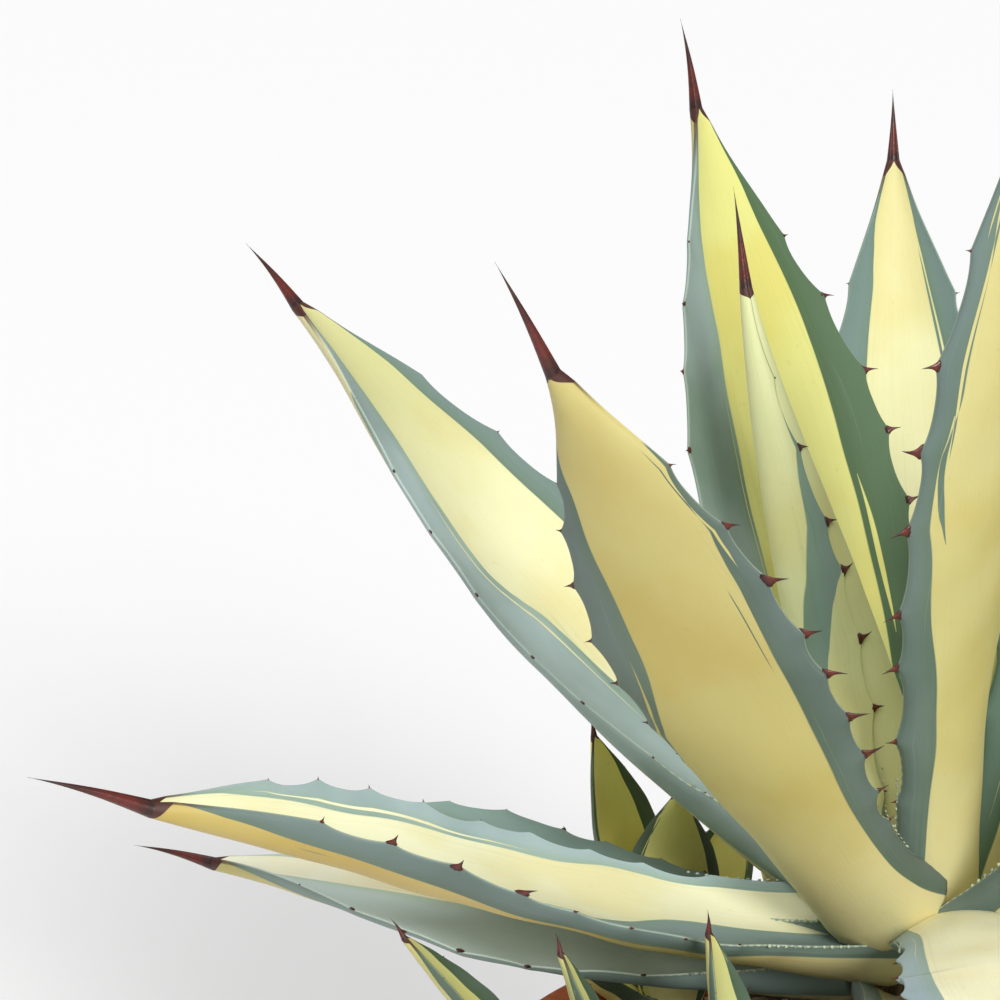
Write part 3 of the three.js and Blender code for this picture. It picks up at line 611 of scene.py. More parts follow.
# How far the pale stripe reaches from the midrib towards a margin, as a share of the half
# width, along the leaf. Below 0 the border lies beyond the midrib.
PLAIN_STRIPE = [(0, 0.68), (0.3, 0.6), (0.7, 0.61), (0.88, 0.76), (1, 1.1)]
STRIPES = {
    "leaf_bud": dict(
        outer_right=[(0, 0.55), (0.4, 0.6), (0.5, 0.67), (0.6, 0.8), (0.7, 0.9), (0.8, 0.98),
                     (0.87, 1.1), (1, 1.2)],
        outer_left=[(0, 0.9), (0.6, 0.95), (1, 1.2)],
        # Painted light: the whole inner face is pale stripe, so that the shaded slit between the rolled
        # edges looks less dark
        inner_left=[(0, 1.2), (1, 1.2)], inner_right=[(0, 1.2), (1, 1.2)]),
    "leaf_back_tall": dict(
        inner_right=[(0, 0.37), (0.6, 0.37), (0.7, 0.4), (0.8, 0.53), (0.92, 0.78), (1, 0.95)],
        inner_left=[(0, 0.6), (0.6, 0.6), (0.72, 0.67), (0.84, 0.69), (0.94, 0.84), (1, 0.98)]),
    "leaf_back_right": dict(
        inner_right=[(0, 0.5), (0.75, 0.46), (0.83, 0.46), (0.88, 0.55), (0.93, 0.78), (1, 1.0)],
        inner_left=[(0, 0.58), (0.8, 0.58), (0.9, 0.6), (0.95, 0.72), (1, 1.0)]),
    "leaf_front_right": dict(
        outer_left=[(0, 0.72), (0.2, 0.68), (0.3, 0.63), (0.4, 0.66), (0.5, 0.75), (0.63, 0.84),
                    (0.68, 0.76), (0.72, 0.7), (0.82, 0.7), (0.9, 0.78), (1, 1.1)],
        outer_right=[(0, 0.8), (0.5, 0.75), (1, 1.1)]),
    "leaf_front_left": dict(
        outer_right=[(0, 0.72), (0.3, 0.68), (0.55, 0.69), (0.7, 0.75), (0.82, 0.92), (1, 1.15)],
        outer_left=[(0, 1.0), (0.3, 0.98), (0.42, 0.78), (0.5, 0.6), (0.6, 0.5), (0.8, 0.6),
                    (0.9, 0.9), (1, 1.15)]),
    "leaf_left_high": dict(
        inner_left=[(0, 0.8), (0.4, 0.76), (0.8, 0.74), (0.9, 0.82), (1, 1.05)],
        inner_right=[(0, -0.1), (0.3, -0.05), (0.4, 0.02), (0.5, 0.13), (0.6, 0.4), (0.7, 0.42),
                     (0.8, 0.3), (0.92, 0.34), (1, 0.7)],
        outer_right=[(0, 0.6), (0.6, 0.66), (0.8, 0.92), (1, 1.2)]),
    "leaf_left_low": dict(
        inner_left=[(0, 0.8), (0.3, 0.8), (0.42, 0.7), (0.7, 0.7), (0.85, 0.76), (1, 1.0)],
        inner_right=[(0, 0.05), (0.3, 0.1), (0.4, 0.35), (0.5, 0.8), (0.58, 1.05), (1, 1.2)],
        outer_right=[(0, 0.92), (0.2, 0.9), (0.36, 0.78), (0.5, 0.68), (0.8, 0.68), (0.92, 0.8),
                     (1, 1.15)]),
    "leaf_left_lowest": dict(
        inner_right=[(0, -0.2), (0.4, -0.2), (0.7, -0.15), (0.88, 0.1), (1, 0.9)]),
    "leaf_left_middle": dict(
        inner_right=[(0, 0.2), (0.6, 0.25), (1, 0.9)],
        inner_left=[(0, 0.3), (0.6, 0.3), (1, 0.9)]),
    "leaf_front_low": dict(
        inner_left=[(0, 0.7), (0.5, 0.68), (0.8, 0.75), (1, 1.1)],
        inner_right=[(0, 0.62), (0.5, 0.66), (0.8, 0.75), (1, 1.1)]),
}

# Single long streaks beside a border: from where to where along the leaf, how far outside the
# border they start and end, and half their width. Those below 0 are dark ones in the stripe.
STREAKS = {
    "leaf_bud": dict(outer_right=(0.08, 0.57, 0.34, 0.3, 0.17)),
    "leaf_left_high": dict(inner_right=(0.34, 0.72, 0.13, 0.1, 0.012)),
    "leaf_front_right": dict(outer_left=(0.55, 0.7, -0.13, 0.03, 0.035)),
    "leaf_back_tall": dict(inner_left=(0.3, 0.52, 0.09, 0.05, 0.02)),
    "leaf_back_right": dict(inner_left=(0.56, 0.74, 0.08, 0.07, 0.025)),
    "leaf_front_left": dict(outer_left=(0.3, 0.58, 0.07, 0.12, 0.02)),
    "leaf_left_low": dict(inner_left=(0.45, 0.86, 0.06, 0.08, 0.02)),
}
QUARTERS = ("inner_left", "inner_right", "outer_left", "outer_right")


def same_draws(seed):
    """Numbers between 0 and 1, which also place the teeth of the solid leaves."""
    state = seed
    while True:
        state = (state * 1664525 + 1013904223) % 2 ** 32
        yield state / 2 ** 32


def smooth_curve(points, t):
    """A curve through the points that never overshoots them, for an array of places."""
    x = np.array([point[0] for point in points], dtype=float)
    y = np.array([point[1] for point in points], dtype=float)
    slopes = np.diff(y) / np.diff(x)
    lean = np.empty(len(x))
    lean[0] = slopes[0]
    lean[-1] = slopes[-1]
    product = slopes[:-1] * slopes[1:]
    total = slopes[:-1] + slopes[1:]
    lean[1:-1] = np.where(product > 0, 2 * product / np.where(product > 0, total, 1), 0)
    t = np.asarray(t, dtype=float)
    i = np.clip(np.searchsorted(x, t, side="left") - 1, 0, len(x) - 2)
    span = x[i + 1] - x[i]
    s = np.clip((t - x[i]) / span, 0, 1)
    ends = (1 + 2 * s) * (1 - s) ** 2 * y[i] + s * s * (3 - 2 * s) * y[i + 1]
    return ends + span * s * (1 - s) * ((1 - s) * lean[i] - s * lean[i + 1])


def along(values, t):
    """A quadratic through three values, at the base, the middle and the tip."""
    base, middle, tip = values
    return base * (2 * t - 1) * (t - 1) + middle * 4 * t * (1 - t) + tip * t * (2 * t - 1)


class Midrib:
    """The line that a leaf is built on, with the directions across and up from its inner face."""

    def __init__(self, spec):
        t = np.linspace(0, 1, MIDRIB_STATIONS + 1)
        az = np.radians(spec["az"] + spec["sway"] * t ** 1.5)
        rise = np.radians(along(spec["rise"], t))
        heading = np.stack(
            [np.cos(rise) * np.cos(az), np.cos(rise) * np.sin(az), np.sin(rise)], axis=1)
        steps = (heading[1:] + heading[:-1]) * spec["length"] / MIDRIB_STATIONS / 2
        out, height = spec["seat"]
        start = math.radians(spec["az"])
        origin = spec.get("origin", (0, 0))
        first = np.array([
            origin[0] + out * math.cos(start), origin[1] + out * math.sin(start), height])
        place = np.vstack([first, first + np.cumsum(steps, axis=0)])
        level = np.stack([-np.sin(az), np.cos(az), np.zeros_like(az)], axis=1)
        over = np.cross(heading, level)
        roll = np.radians(lerp(spec["roll"][0], spec["roll"][1], t))[:, None]
        across = level * np.cos(roll) + over * np.sin(roll)
        self.t = t
        self.place = place
        self.heading = heading
        self.across = across
        self.up = np.cross(heading, across)

    def at(self, t, kind):
        values = getattr(self, kind)
        return np.stack([np.interp(t, self.t, values[:, k]) for k in range(3)], axis=-1)


def leaf_surface(spec, midrib, t, u, outer, reach):
    """Points of a leaf at t along and u across, from -1 to 1. outer runs from 0 on the inner face
    to 1 on the outer face, and reach moves the margin outwards."""
    half = spec["width"] / 2 * smooth_curve(ROLLED_OUTLINE if spec.get("rolled") else OUTLINE, t)
    bend = along(spec["fold"], t)
    fold = np.radians(np.where(np.abs(bend) < LEAST_FOLD, LEAST_FOLD, bend))
    radius = half / fold * (1 + spec.get("spiral", 0) * u)
    angle = u * fold
    side = radius * np.sin(angle) + np.sign(u) * reach * np.cos(angle)
    lift = half / fold - radius * np.cos(angle) + np.sign(u) * reach * np.sin(angle)
    scale = spec.get("thick", 1)
    full = smooth_curve(THICKNESS, t) * scale
    thickness = full * (1 - u * u) ** LEAF_ROUNDNESS + LEAF_EDGE * math.sqrt(scale)
    side = side + np.sin(angle) * thickness * outer
    lift = lift - np.cos(angle) * thickness * outer
    across = midrib.at(t, "across")
    up = midrib.at(t, "up")
    return midrib.at(t, "place") + across * side[..., None] + up * lift[..., None]


def stripe_places(spec, t, u, outer):
    """How far each point lies outside the pale stripe, and where the single streaks run: the
    distance from a streak's middle line, and half the streak's width there."""
    stripes = STRIPES.get(spec.get("name"), {})
    streaks = dict(STREAKS.get(spec.get("name"), {}))
    draw = random.Random(spec["seed"] * 7 + 1)
    for quarter in QUARTERS:
        start = draw.uniform(0.12, 0.5)
        beside = draw.choice((-1, 1)) * draw.uniform(0.03, 0.1)
        streaks.setdefault(quarter, (
            start, start + draw.uniform(0.15, 0.35), beside, beside * draw.uniform(0.6, 1.4),
            draw.uniform(-0.04, 0.014)))
    found = {}
    for quarter in QUARTERS:
        reach = smooth_curve(stripes.get(quarter, spec.get("stripe", PLAIN_STRIPE)), t)
        way = -1 if quarter.endswith("left") else 1
        over = u * way - reach
        begin, end, first, last, half = streaks[quarter]
        s = (t - begin) / (end - begin)
        line = over - (first + (last - first) * s)
        width = np.where((s > 0) & (s < 1), half * np.sin(np.pi * np.clip(s, 0, 1)), -1.0)
        found[quarter] = (over, line, width)
    chosen = []
    for part in range(3):
        faces = []
        for face in ("inner", "outer"):
            left, right = found[face + "_left"], found[face + "_right"]
            faces.append(np.where(left[0] > right[0], left[part], right[part]))
        chosen.append(np.where(outer < 0.5, faces[0], faces[1]))
    return chosen


def tooth_places(spec):
    """Where the teeth stand on the left and on the right margin, and how big each one is."""
    draw = same_draws(spec["seed"])
    size = spec.get("tooth_scale", 1)
    places = []
    for _ in range(2):
        margin = []
        for i in range(spec["teeth"]):
            share = (i + TOOTH_STRAY * (next(draw) - 0.5)) / (spec["teeth"] - 1)
            t = FIRST_TOOTH + (LAST_TOOTH - FIRST_TOOTH) * share
            middleness = max(min(share / 0.25, (1 - share) / 0.2, 1), 0)
            margin.append((t, size * lerp(LEAST_TOOTH, 1, middleness)))
        places.append(margin)
    return places


def margin_reach(spec, t, margin):
    """How far the margin stands out at t: hollowed between the teeth, with a swelling under each."""
    if spec.get("plain"):
        return np.zeros_like(t)
    stops = [0.06] + [tooth[0] for tooth in margin] + [0.98]
    reach = np.zeros_like(t)
    for k, (a, b) in enumerate(zip(stops, stops[1:])):
        depth = LEAF_SCALLOP * (0.4 if k == 0 or k == len(stops) - 2 else 1)
        s = (t - a) / (b - a)
        hollow = -depth * (1 - np.abs(2 * s - 1) ** 2.4)
        reach = np.where((s > 0) & (s < 1), hollow, reach)
    return reach


# The two finishes of a leaf's faces
SKIN = 0
HORN = 1


class LeafMesh:
    """Points, faces and the numbers that the skin and the horn read at each point."""

    def __init__(self, draw=0.0):
        self.points = []
        self.faces = []
        self.finishes = []
        self.values = {"along": [], "across": [], "rim": [], "horn": [], "outer": [], "draw": [],
                       "over": [], "line": [], "width": []}
        self.draw = draw

    def add(self, point, t, u, rim=0.0, horn=0.0, outer=1.0, marks=(0.3, 1, -1)):
        self.points.append(tuple(point))
        given = (t, u, rim, horn, outer, self.draw, *marks)
        for name, value in zip(self.values, given):
            self.values[name].append(value)
        return len(self.points) - 1

    def face(self, corners, finish):
        self.faces.append(corners)
        self.finishes.append(finish)

    def skirt(self, low, high, finish):
        """The faces between one ring of points and the next."""
        for k in range(len(low)):
            n = (k + 1) % len(low)
            self.face([low[k], low[n], high[n], high[k]], finish)


# Rings from the foot of a tooth or a bead outwards: how far out each lies, how wide it is along
# the margin and how thick it is. A tooth is horn, and a bead is a swelling of the skin.
TOOTH = dict(reach=6.2, finish=HORN, rings=[
    (-0.28, 1.12, 0.62), (-0.02, 1.0, 0.58), (0.12, 0.66, 0.5), (0.3, 0.38, 0.36),
    (0.55, 0.2, 0.22), (0.8, 0.1, 0.11), (1.0, 0.015, 0.015)])
BEAD = dict(reach=1.5, finish=SKIN, rings=[
    (-0.3, 1.1, 0.8), (0.1, 1.0, 0.9), (0.5, 0.75, 0.8), (0.8, 0.4, 0.5), (0.9, 0.1, 0.15)])
CLAW_SIDES = 8
CLAW_THICKNESS = LEAF_EDGE * 1.15


def claw(mesh, spec, midrib, kind, t, side, size, hook):
    """One tooth or bead on a margin, whose tip leans along the margin by its hook."""

    def margin_point(place, reach):
        return leaf_surface(
            spec, midrib, np.array([place]), np.array([float(side)]), np.array([0.5]),
            np.array([reach]))[0]

    foot = margin_point(t, 0.0)
    out = margin_point(t, 2.0) - foot
    out /= np.linalg.norm(out)
    step = 1.0 / spec["length"]
    on = margin_point(t + step, 0.0) - margin_point(t - step, 0.0)
    on /= np.linalg.norm(on)
    flat = np.cross(out, on)
    rim = 1.0 if kind["finish"] == SKIN else 0.0
    rings = []
    for rise, wide, thick in kind["rings"]:
        beyond = max(rise, 0)
        centre = foot + out * kind["reach"] * size * rise + on * hook * size * beyond ** 2
        half_width = TOOTH_BASE * size * wide
        half_thickness = CLAW_THICKNESS * thick * size ** 0.5
        ring = []
        for k in range(CLAW_SIDES):
            angle = 2 * math.pi * k / CLAW_SIDES
            spread = on * math.cos(angle) * half_width + flat * math.sin(angle) * half_thickness
            ring.append(mesh.add(centre + spread, t, side, rim, lerp(0.08, 1, beyond)))
        rings.append(ring)
    for low, high in zip(rings, rings[1:]):
        mesh.skirt(low, high, kind["finish"])
    mesh.face(rings[-1], kind["finish"])
    mesh.face(rings[0][::-1], kind["finish"])


def leaf_section(columns):
    """Once round a leaf: for each point how far across it lies, from -1 to 1, whether on the inner
    face, 0, or on the outer one, 1, and how much it belongs to the rounded rim."""
    across = np.sin(np.linspace(-math.pi / 2, math.pi / 2, columns))
    rim = [(0.18, 0.45), (0.5, 1.0), (0.82, 0.45)]
    section = [(u, 0.0, 0.0) for u in across]
    section += [(1.0, outer, swell) for outer, swell in rim]
    section += [(u, 1.0, 0.0) for u in across[::-1]]
    section += [(-1.0, outer, swell) for outer, swell in rim[::-1]]
    return np.array(section).T


def blade_rows(mesh, spec, midrib, teeth, section):
    """Rows of points round the blade, with its waved margins and a slightly uneven surface. Gives
    the rows' numbers and the points of the last one."""
    u, outer, rim = section
    rows = spec.get("rows", LEAF_ROWS)
    t = np.linspace(0, 1, rows + 1)
    left = margin_reach(spec, t, teeth[0])
    right = margin_reach(spec, t, teeth[1])
    nearness = np.clip((np.abs(u) - 0.7) / 0.3, 0, 1) ** 1.6
    reach = np.where(u[None, :] < 0, left[:, None], right[:, None]) * nearness[None, :]
    reach = reach + rim[None, :] * RIM_SWELL * math.sqrt(spec.get("thick", 1))
    tt, uu = np.meshgrid(t, u, indexing="ij")
    oo = np.broadcast_to(outer, tt.shape)
    grid = leaf_surface(spec, midrib, tt, uu, oo, reach)
    phase = spec["seed"] * 1.7
    wave = 0.5 * np.sin(tt * 23 + uu * 3.1 + phase) + 0.35 * np.sin(tt * 41 - uu * 4.3 + 2 * phase)
    wave = wave * np.sin(np.pi * tt) * spec.get("thick", 1)
    grid = grid + midrib.at(tt, "up") * wave[..., None]
    over, line, width = stripe_places(spec, tt, uu, oo)
    numbers = []
    for i in range(rows + 1):
        row = []
        for k in range(len(u)):
            marks = (over[i, k], line[i, k], width[i, k])
            row.append(mesh.add(grid[i, k], t[i], u[k], rim[k], 0.0, outer[k], marks))
        numbers.append(row)
    return numbers, grid[-1]


def horny_point_rows(mesh, spec, midrib, section, last):
    """Rows of points of the horny point, which runs on from the blade's last row."""
    centre = last.mean(axis=0)
    tip = midrib.place[-1] + midrib.heading[-1] * spec["spine"]
    numbers = []
    for i in range(1, SPINE_ROWS + 1):
        s = i / SPINE_ROWS
        scale = max((1 - s) ** 1.25, 0.02)
        bend = midrib.up[-1] * SPINE_BEND * math.sin(math.pi * s) * spec.get("thick", 1)
        here = centre * (1 - s) + tip * s + bend
        row = []
        for point, u in zip(last, section[0]):
            row.append(mesh.add(here + (point - centre) * scale, 1.0 + s, u, 0.0, s))
        numbers.append(row)
    return numbers


def grow_teeth(mesh, spec, midrib, teeth):
    """Teeth on both margins, and nearer the base a row of small beads."""
    draw = random.Random(spec["seed"])
    for side, margin, mild in zip((-1, 1), teeth, spec.get("mild", (1, 1))):
        for place, size in margin:
            size *= mild * (STUNTED if place < spec.get("small_until", 0) else 1)
            hook = draw.uniform(-1.6, 1.6)
            size *= draw.uniform(0.9, 1.08)
            claw(mesh, spec, midrib, TOOTH, place, side, size, hook)
        if spec.get("plain"):
            continue
        place = FIRST_BEAD
        while place < LAST_BEAD:
            claw(mesh, spec, midrib, BEAD, place, side, draw.uniform(0.28, 0.42), 0)
            place += draw.uniform(3.6, 5.4) / spec["length"]


def leaf_mesh(spec):
    """A whole leaf: blade, horny point and teeth."""
    midrib = Midrib(spec)
    teeth = tooth_places(spec)
    section = leaf_section(spec.get("columns", LEAF_COLUMNS))
    mesh = LeafMesh((spec["seed"] * 0.618) % 1.0)
    blade, last = blade_rows(mesh, spec, midrib, teeth, section)
    point = horny_point_rows(mesh, spec, midrib, section, last)
    for low, high in zip(blade, blade[1:]):
        mesh.skirt(low, high, SKIN)
    for low, high in zip([blade[-1]] + point, point):
        mesh.skirt(low, high, HORN)
    mesh.face(blade[0][::-1], SKIN)
    mesh.face(point[-1], HORN)
    grow_teeth(mesh, spec, midrib, teeth)
    return mesh


def leaf_piece(name, meshes, node, skin, horn):
    """Several leaf meshes as one object."""
    points = []
    faces = []
    finishes = []
    values = {key: [] for key in meshes[0].values}
    for mesh in meshes:
        first = len(points)
        points += mesh.points
        faces += [[first + corner for corner in face] for face in mesh.faces]
        finishes += mesh.finishes
        for key in values:
            values[key] += mesh.values[key]
    piece = new_piece(name, points, faces, node)
    piece.data.materials.append(skin)
    piece.data.materials.append(horn)
    piece.data.polygons.foreach_set("material_index", finishes)
    for key in values:
        give_values(piece, key, values[key])
    shell = bmesh.new()
    shell.from_mesh(piece.data)
    bmesh.ops.recalc_face_normals(shell, faces=shell.faces)
    shell.to_mesh(piece.data)
    shell.free()
    return piece


def markings_group():
    """Where the pale stripe, its streaks, the painted highlight along the margin's rim and the brown of
    the horn lie.
    """
    group = bpy.data.node_groups.new("leaf_markings", "ShaderNodeTree")
    face = group.interface
    for name, value in [("Along", 0.0), ("Across", 0.0), ("Rim", 0.0), ("Draw", 0.0),
                        ("Over", 0.0), ("Line", 1.0), ("Width", -1.0), ("Brown from", 0.93)]:
        face.new_socket(name, in_out="INPUT", socket_type="NodeSocketFloat").default_value = value
    for name in ("Pale", "Border", "Streaks", "Rim highlight", "Brown", "Fibres"):
        face.new_socket(name, in_out="OUTPUT", socket_type="NodeSocketFloat")
    given = node_of(group, "NodeGroupInput").outputs
    made = node_of(group, "NodeGroupOutput").inputs
    t = given["Along"]
    off_midrib = calc(group, "ABSOLUTE", given["Across"])

    def field(x_scale, y_scale, shift, detail):
        place = node_of(group, "ShaderNodeCombineXYZ")
        plug(group, place.inputs[0], calc(group, "MULTIPLY", given["Across"], x_scale))
        plug(group, place.inputs[1], calc(group, "MULTIPLY", t, y_scale))
        plug(group, place.inputs[2], calc(group, "MULTIPLY_ADD", given["Draw"], 7.3, shift))
        return calc(group, "SUBTRACT", grain(group, place.outputs[0], 1.0, detail), 0.5)

    # The border wanders a little and splits here and there into long splinters
    wobble = calc(group, "MULTIPLY", field(1.3, 5.0, 0.0, 1.0), 0.07)
    splinters = calc(group, "MULTIPLY", field(20.0, 1.6, 1.7, 0.0), 0.02)
    over = calc(group, "ADD", calc(group, "ADD", given["Over"], wobble), splinters)
    inside = fade(group, over, -0.007, 0.007, 1.0, 0.0)
    near = fade(group, calc(group, "ABSOLUTE", over), 0.02, 0.16, 1.0, 0.0)
    flames = fade(group, field(15.0, 1.9, 3.1, 0.0), 0.255, 0.27)
    flames = calc(group, "MULTIPLY", flames, fade(group, near, 0.3, 0.34))
    line = calc(group, "ABSOLUTE", calc(group, "ADD", given["Line"], splinters))
    streak = fade(group, calc(group, "SUBTRACT", line, given["Width"]), -0.004, 0.004, 1.0, 0.0)
    # Flames and streaks are green inside the stripe and pale outside it
    flip = calc(group, "MAXIMUM", flames, streak)
    both = calc(group, "MULTIPLY", inside, flip)
    pale = calc(group, "MULTIPLY_ADD", both, -2.0, calc(group, "ADD", inside, flip), clamp=True)
    plug(group, made["Pale"], pale)
    border = calc(group, "MULTIPLY", near, field(30.0, 2.2, 5.2, 2.0))
    plug(group, made["Border"], calc(group, "MULTIPLY", border, 2.0, clamp=True))
    plug(group, made["Streaks"], fade(group, field(46.0, 2.6, 8.8, 2.0), 0.13, 0.24))
    # A painted highlight along the margin's rounded rim, brighter towards the base and there broken
    # into dashes: painted glints on the small beads
    beads = calc(group, "SINE", calc(group, "MULTIPLY", t, 520.0))
    beads = fade(group, beads, -0.4, 0.4, 0.25, 1.0)
    base_rim_glints = calc(group, "MULTIPLY", beads, fade(group, t, 0.22, 0.36, 1.0, 0.0))
    rim_highlight = calc(group, "MAXIMUM", base_rim_glints, 0.3)
    plug(group, made["Rim highlight"], calc(group, "MULTIPLY", rim_highlight, fade(group, given["Rim"], 0.25, 0.8)))
    # The horn runs a little way down both margins, so that the skin ends in a point between them
    brown = fade(group, t, given["Brown from"], 1.0)
    brown = calc(group, "MULTIPLY", brown, fade(group, off_midrib, 0.94, 0.99))
    wedge = calc(group, "POWER", fade(group, t, 0.965, 1.0), 3.0)
    wedge = calc(group, "MULTIPLY_ADD", wedge, 0.95, off_midrib)
    brown = calc(group, "MAXIMUM", brown, fade(group, wedge, 1.02, 1.08))
    collar = fade(group, t, 0.996, 0.999)
    plug(group, made["Brown"], calc(group, "MAXIMUM", brown, collar))
    plug(group, made["Fibres"], field(70.0, 3.0, 2.2, 2.0))
    return group


leaf_markings = markings_group()


def leaf_skin(name, stripe, margin, brown_from, wax_and_side_light, ripe=(0, 0)):
    """Waxy living skin. The pale stripe and the green margins have a colour for the inner and one for
    the outer face of the leaf. The pair of wax amounts is how much pale wax the left and the right half
    carry; where the two differ, the difference is painted light, one half painted paler than the other
    to copy how the light falls on the two sides. Ripe is how yellow the inner and how golden the outer
    face have become beyond the middle."""
    material, tree, shader = finish_of("skin_" + name)
    marks = node_of(tree, "ShaderNodeGroup")
    marks.node_tree = leaf_markings
    at = {}
    for key in ("Along", "Across", "Rim", "Draw", "Over", "Line", "Width"):
        at[key] = read_value(tree, key.lower())
        plug(tree, marks.inputs[key], at[key])
    marks.inputs["Brown from"].default_value = brown_from
    mark = marks.outputs
    outer = fade(tree, read_value(tree, "outer"), 0.4, 0.6)
    spot = place_on_object(tree)
    cloud = grain(tree, spot, 14, 3, 0.55)
    speck = grain(tree, spot, 260, 3, 0.6)

    def tinted(share, under, over):
        """The colour under, multiplied by the one over it."""
        return blend(tree, share, under, blend(tree, 1.0, under, over, "MULTIPLY"))

    yellow = fade(tree, at["Along"], 0.6, 0.9, 0.0, ripe[0])
    golden = fade(tree, at["Along"], 0.35, 0.7, 0.0, ripe[1])
    pale = blend(tree, outer, blend(tree, yellow, colour(*stripe[0]), colour(190, 188, 118)),
                 blend(tree, golden, colour(*stripe[1]), colour(188, 164, 84)))
    pale = tinted(fade(tree, cloud, 0.42, 0.66), pale, (0.96, 0.9, 0.74, 1.0))
    # The stripe turns greener along its fibres and towards its borders, and whiter at the base
    fibres = calc(tree, "MULTIPLY", mark["Fibres"], 0.35, clamp=True)
    pale = blend(tree, fibres, pale, (0.40, 0.42, 0.22, 1.0))
    pale = blend(tree, calc(tree, "MULTIPLY", mark["Border"], 0.4), pale, (0.34, 0.42, 0.22, 1.0))
    pale = blend(tree, fade(tree, at["Along"], 0.0, 0.4, 0.45, 0.0), pale, colour(238, 232, 190))
    green = blend(tree, outer, colour(*margin[0]), colour(*margin[1]))
    # Pale wax over the margins; where the amount differs between the halves, that difference is painted
    # light on one side
    wax_and_side_light_share = fade(tree, at["Across"], -0.3, 0.3, wax_and_side_light[0], wax_and_side_light[1])
    waxed_and_side_lit = blend(tree, wax_and_side_light_share, green, colour(172, 192, 192))
    green = blend(tree, fade(tree, cloud, 0.3, 0.62, 0.45, 1.0), green, waxed_and_side_lit)
    green = tinted(fade(tree, at["Over"], 0.0, 0.2, 0.55, 0.0), green, (0.82, 0.9, 0.62, 1.0))
    green = tinted(calc(tree, "MULTIPLY", mark["Border"], 0.5), green, (0.5, 0.58, 0.5, 1.0))
    streaks = calc(tree, "MULTIPLY", mark["Streaks"], 0.14)
    green = blend(tree, streaks, green, colour(160, 178, 158))
    skin = blend(tree, mark["Pale"], green, pale)
    # Painted highlight: a pale line along the rim of each margin
    skin = blend(tree, calc(tree, "MULTIPLY", mark["Rim highlight"], 0.8), skin, colour(204, 212, 176))
    skin = blend(tree, fade(tree, speck, 0.64, 0.74, 0.0, 0.08), skin, colour(120, 96, 52))
    skin = blend(tree, mark["Brown"], skin, colour(70, 32, 24))
    gloss = fade(tree, mark["Pale"], 0, 1, 0.58, 0.46)
    coat(tree, shader, skin, calc(tree, "MULTIPLY_ADD", cloud, 0.12, gloss))
    ribs = calc(tree, "MULTIPLY", mark["Fibres"], 0.7)
    relief(tree, shader, calc(tree, "MULTIPLY_ADD", speck, 0.15, ribs), 0.0004, 0.35)
    shader.inputs["Subsurface Weight"].default_value = 0.12
    shader.inputs["Subsurface Radius"].default_value = (0.9, 0.8, 0.35)
    shader.inputs["Subsurface Scale"].default_value = 0.004
    return material


def horn_finish():
    """Hard dead horn: almost black where it leaves the skin, then red-brown, greyish at the
    point."""
    material, tree, shader = finish_of("horn")
    s = read_value(tree, "horn")
    fine = grain(tree, place_on_object(tree), 300, 3, 0.6)
    base = blend(tree, fade(tree, s, 0.0, 0.2), colour(46, 18, 13), colour(96, 30, 18))
    base = blend(tree, fade(tree, s, 0.35, 0.6), base, colour(66, 26, 19))
    base = blend(tree, fade(tree, s, 0.6, 0.95), base, colour(62, 50, 46))
    base = blend(tree, fade(tree, fine, 0.4, 0.7, 0.0, 0.5), base, colour(40, 18, 15))
    coat(tree, shader, base, fade(tree, fine, 0.3, 0.7, 0.32, 0.5))
    relief(tree, shader, fine, 0.0003)
    return material


# Younger leaves are greener, lower ones carry more bloom. Where a skin's bloom differs between its left
# and right half, the difference is painted light: one half is painted paler to copy how the light falls
# on it.
SKINS = {
    "bud": dict(stripe=[(248, 250, 205), (217, 221, 164)],
                margin=[(84, 112, 100), (112, 140, 127)], brown_from=0.72, wax_and_side_light=(0.2, 0.2)),
    "young": dict(stripe=[(222, 221, 134), (200, 194, 128)],
                  margin=[(77, 104, 71), (92, 118, 104)], brown_from=0.9, wax_and_side_light=(0, 0.7)),
    "upright": dict(stripe=[(222, 220, 168), (206, 198, 134)],
                    margin=[(86, 112, 102), (80, 100, 90)], brown_from=0.93, wax_and_side_light=(0.2, 0.2)),
    "golden": dict(stripe=[(224, 220, 168), (194, 182, 114)],
                   margin=[(86, 112, 102), (76, 92, 82)], brown_from=0.93, wax_and_side_light=(0.2, 0.12)),
    "dark": dict(stripe=[(220, 220, 168), (190, 180, 112)],
                 margin=[(104, 130, 120), (86, 108, 98)], brown_from=0.92, wax_and_side_light=(0.3, 0.2)),
    # Painted light: lighter all over than the leaf's own colour, to make up for the deep shade that
    # leaf_left_lowest lies in under leaf_left_low
    "lightened_against_shade": dict(stripe=[(252, 252, 228), (190, 180, 112)],
                   margin=[(200, 218, 212), (120, 140, 132)], brown_from=0.92, wax_and_side_light=(0.1, 0.1)),
    "low": dict(stripe=[(234, 234, 196), (188, 174, 106)],
                margin=[(124, 146, 144), (84, 102, 94)], brown_from=0.92, wax_and_side_light=(0.75, 0.15),
                ripe=(0, 0.6)),
    "arched": dict(stripe=[(232, 230, 186), (214, 208, 160)],
                   margin=[(112, 132, 126), (98, 116, 110)], brown_from=0.92, wax_and_side_light=(0, 0.85),
                   ripe=(0.7, 0)),
    "powdery": dict(stripe=[(248, 244, 208), (188, 174, 106)],
                    margin=[(150, 170, 184), (98, 116, 110)], brown_from=0.92, wax_and_side_light=(0.6, 0.6)),
}
horn = horn_finish()
skins = {name: leaf_skin(name, **finish) for name, finish in SKINS.items()}
for index, spec in enumerate(LEAVES):
    spec["seed"] = LEAF_SEED + index
    leaf_piece(spec["name"] + "_blade", [leaf_mesh(spec)], spec["name"],
               skins[spec["skin"]], horn)

# The offsets: young rosettes of the same plant that come up through the soil round it, each on a
# short stalk of its own. They are the same living tissue, with thinner leaves and smaller teeth,
# and some have grown into each other.

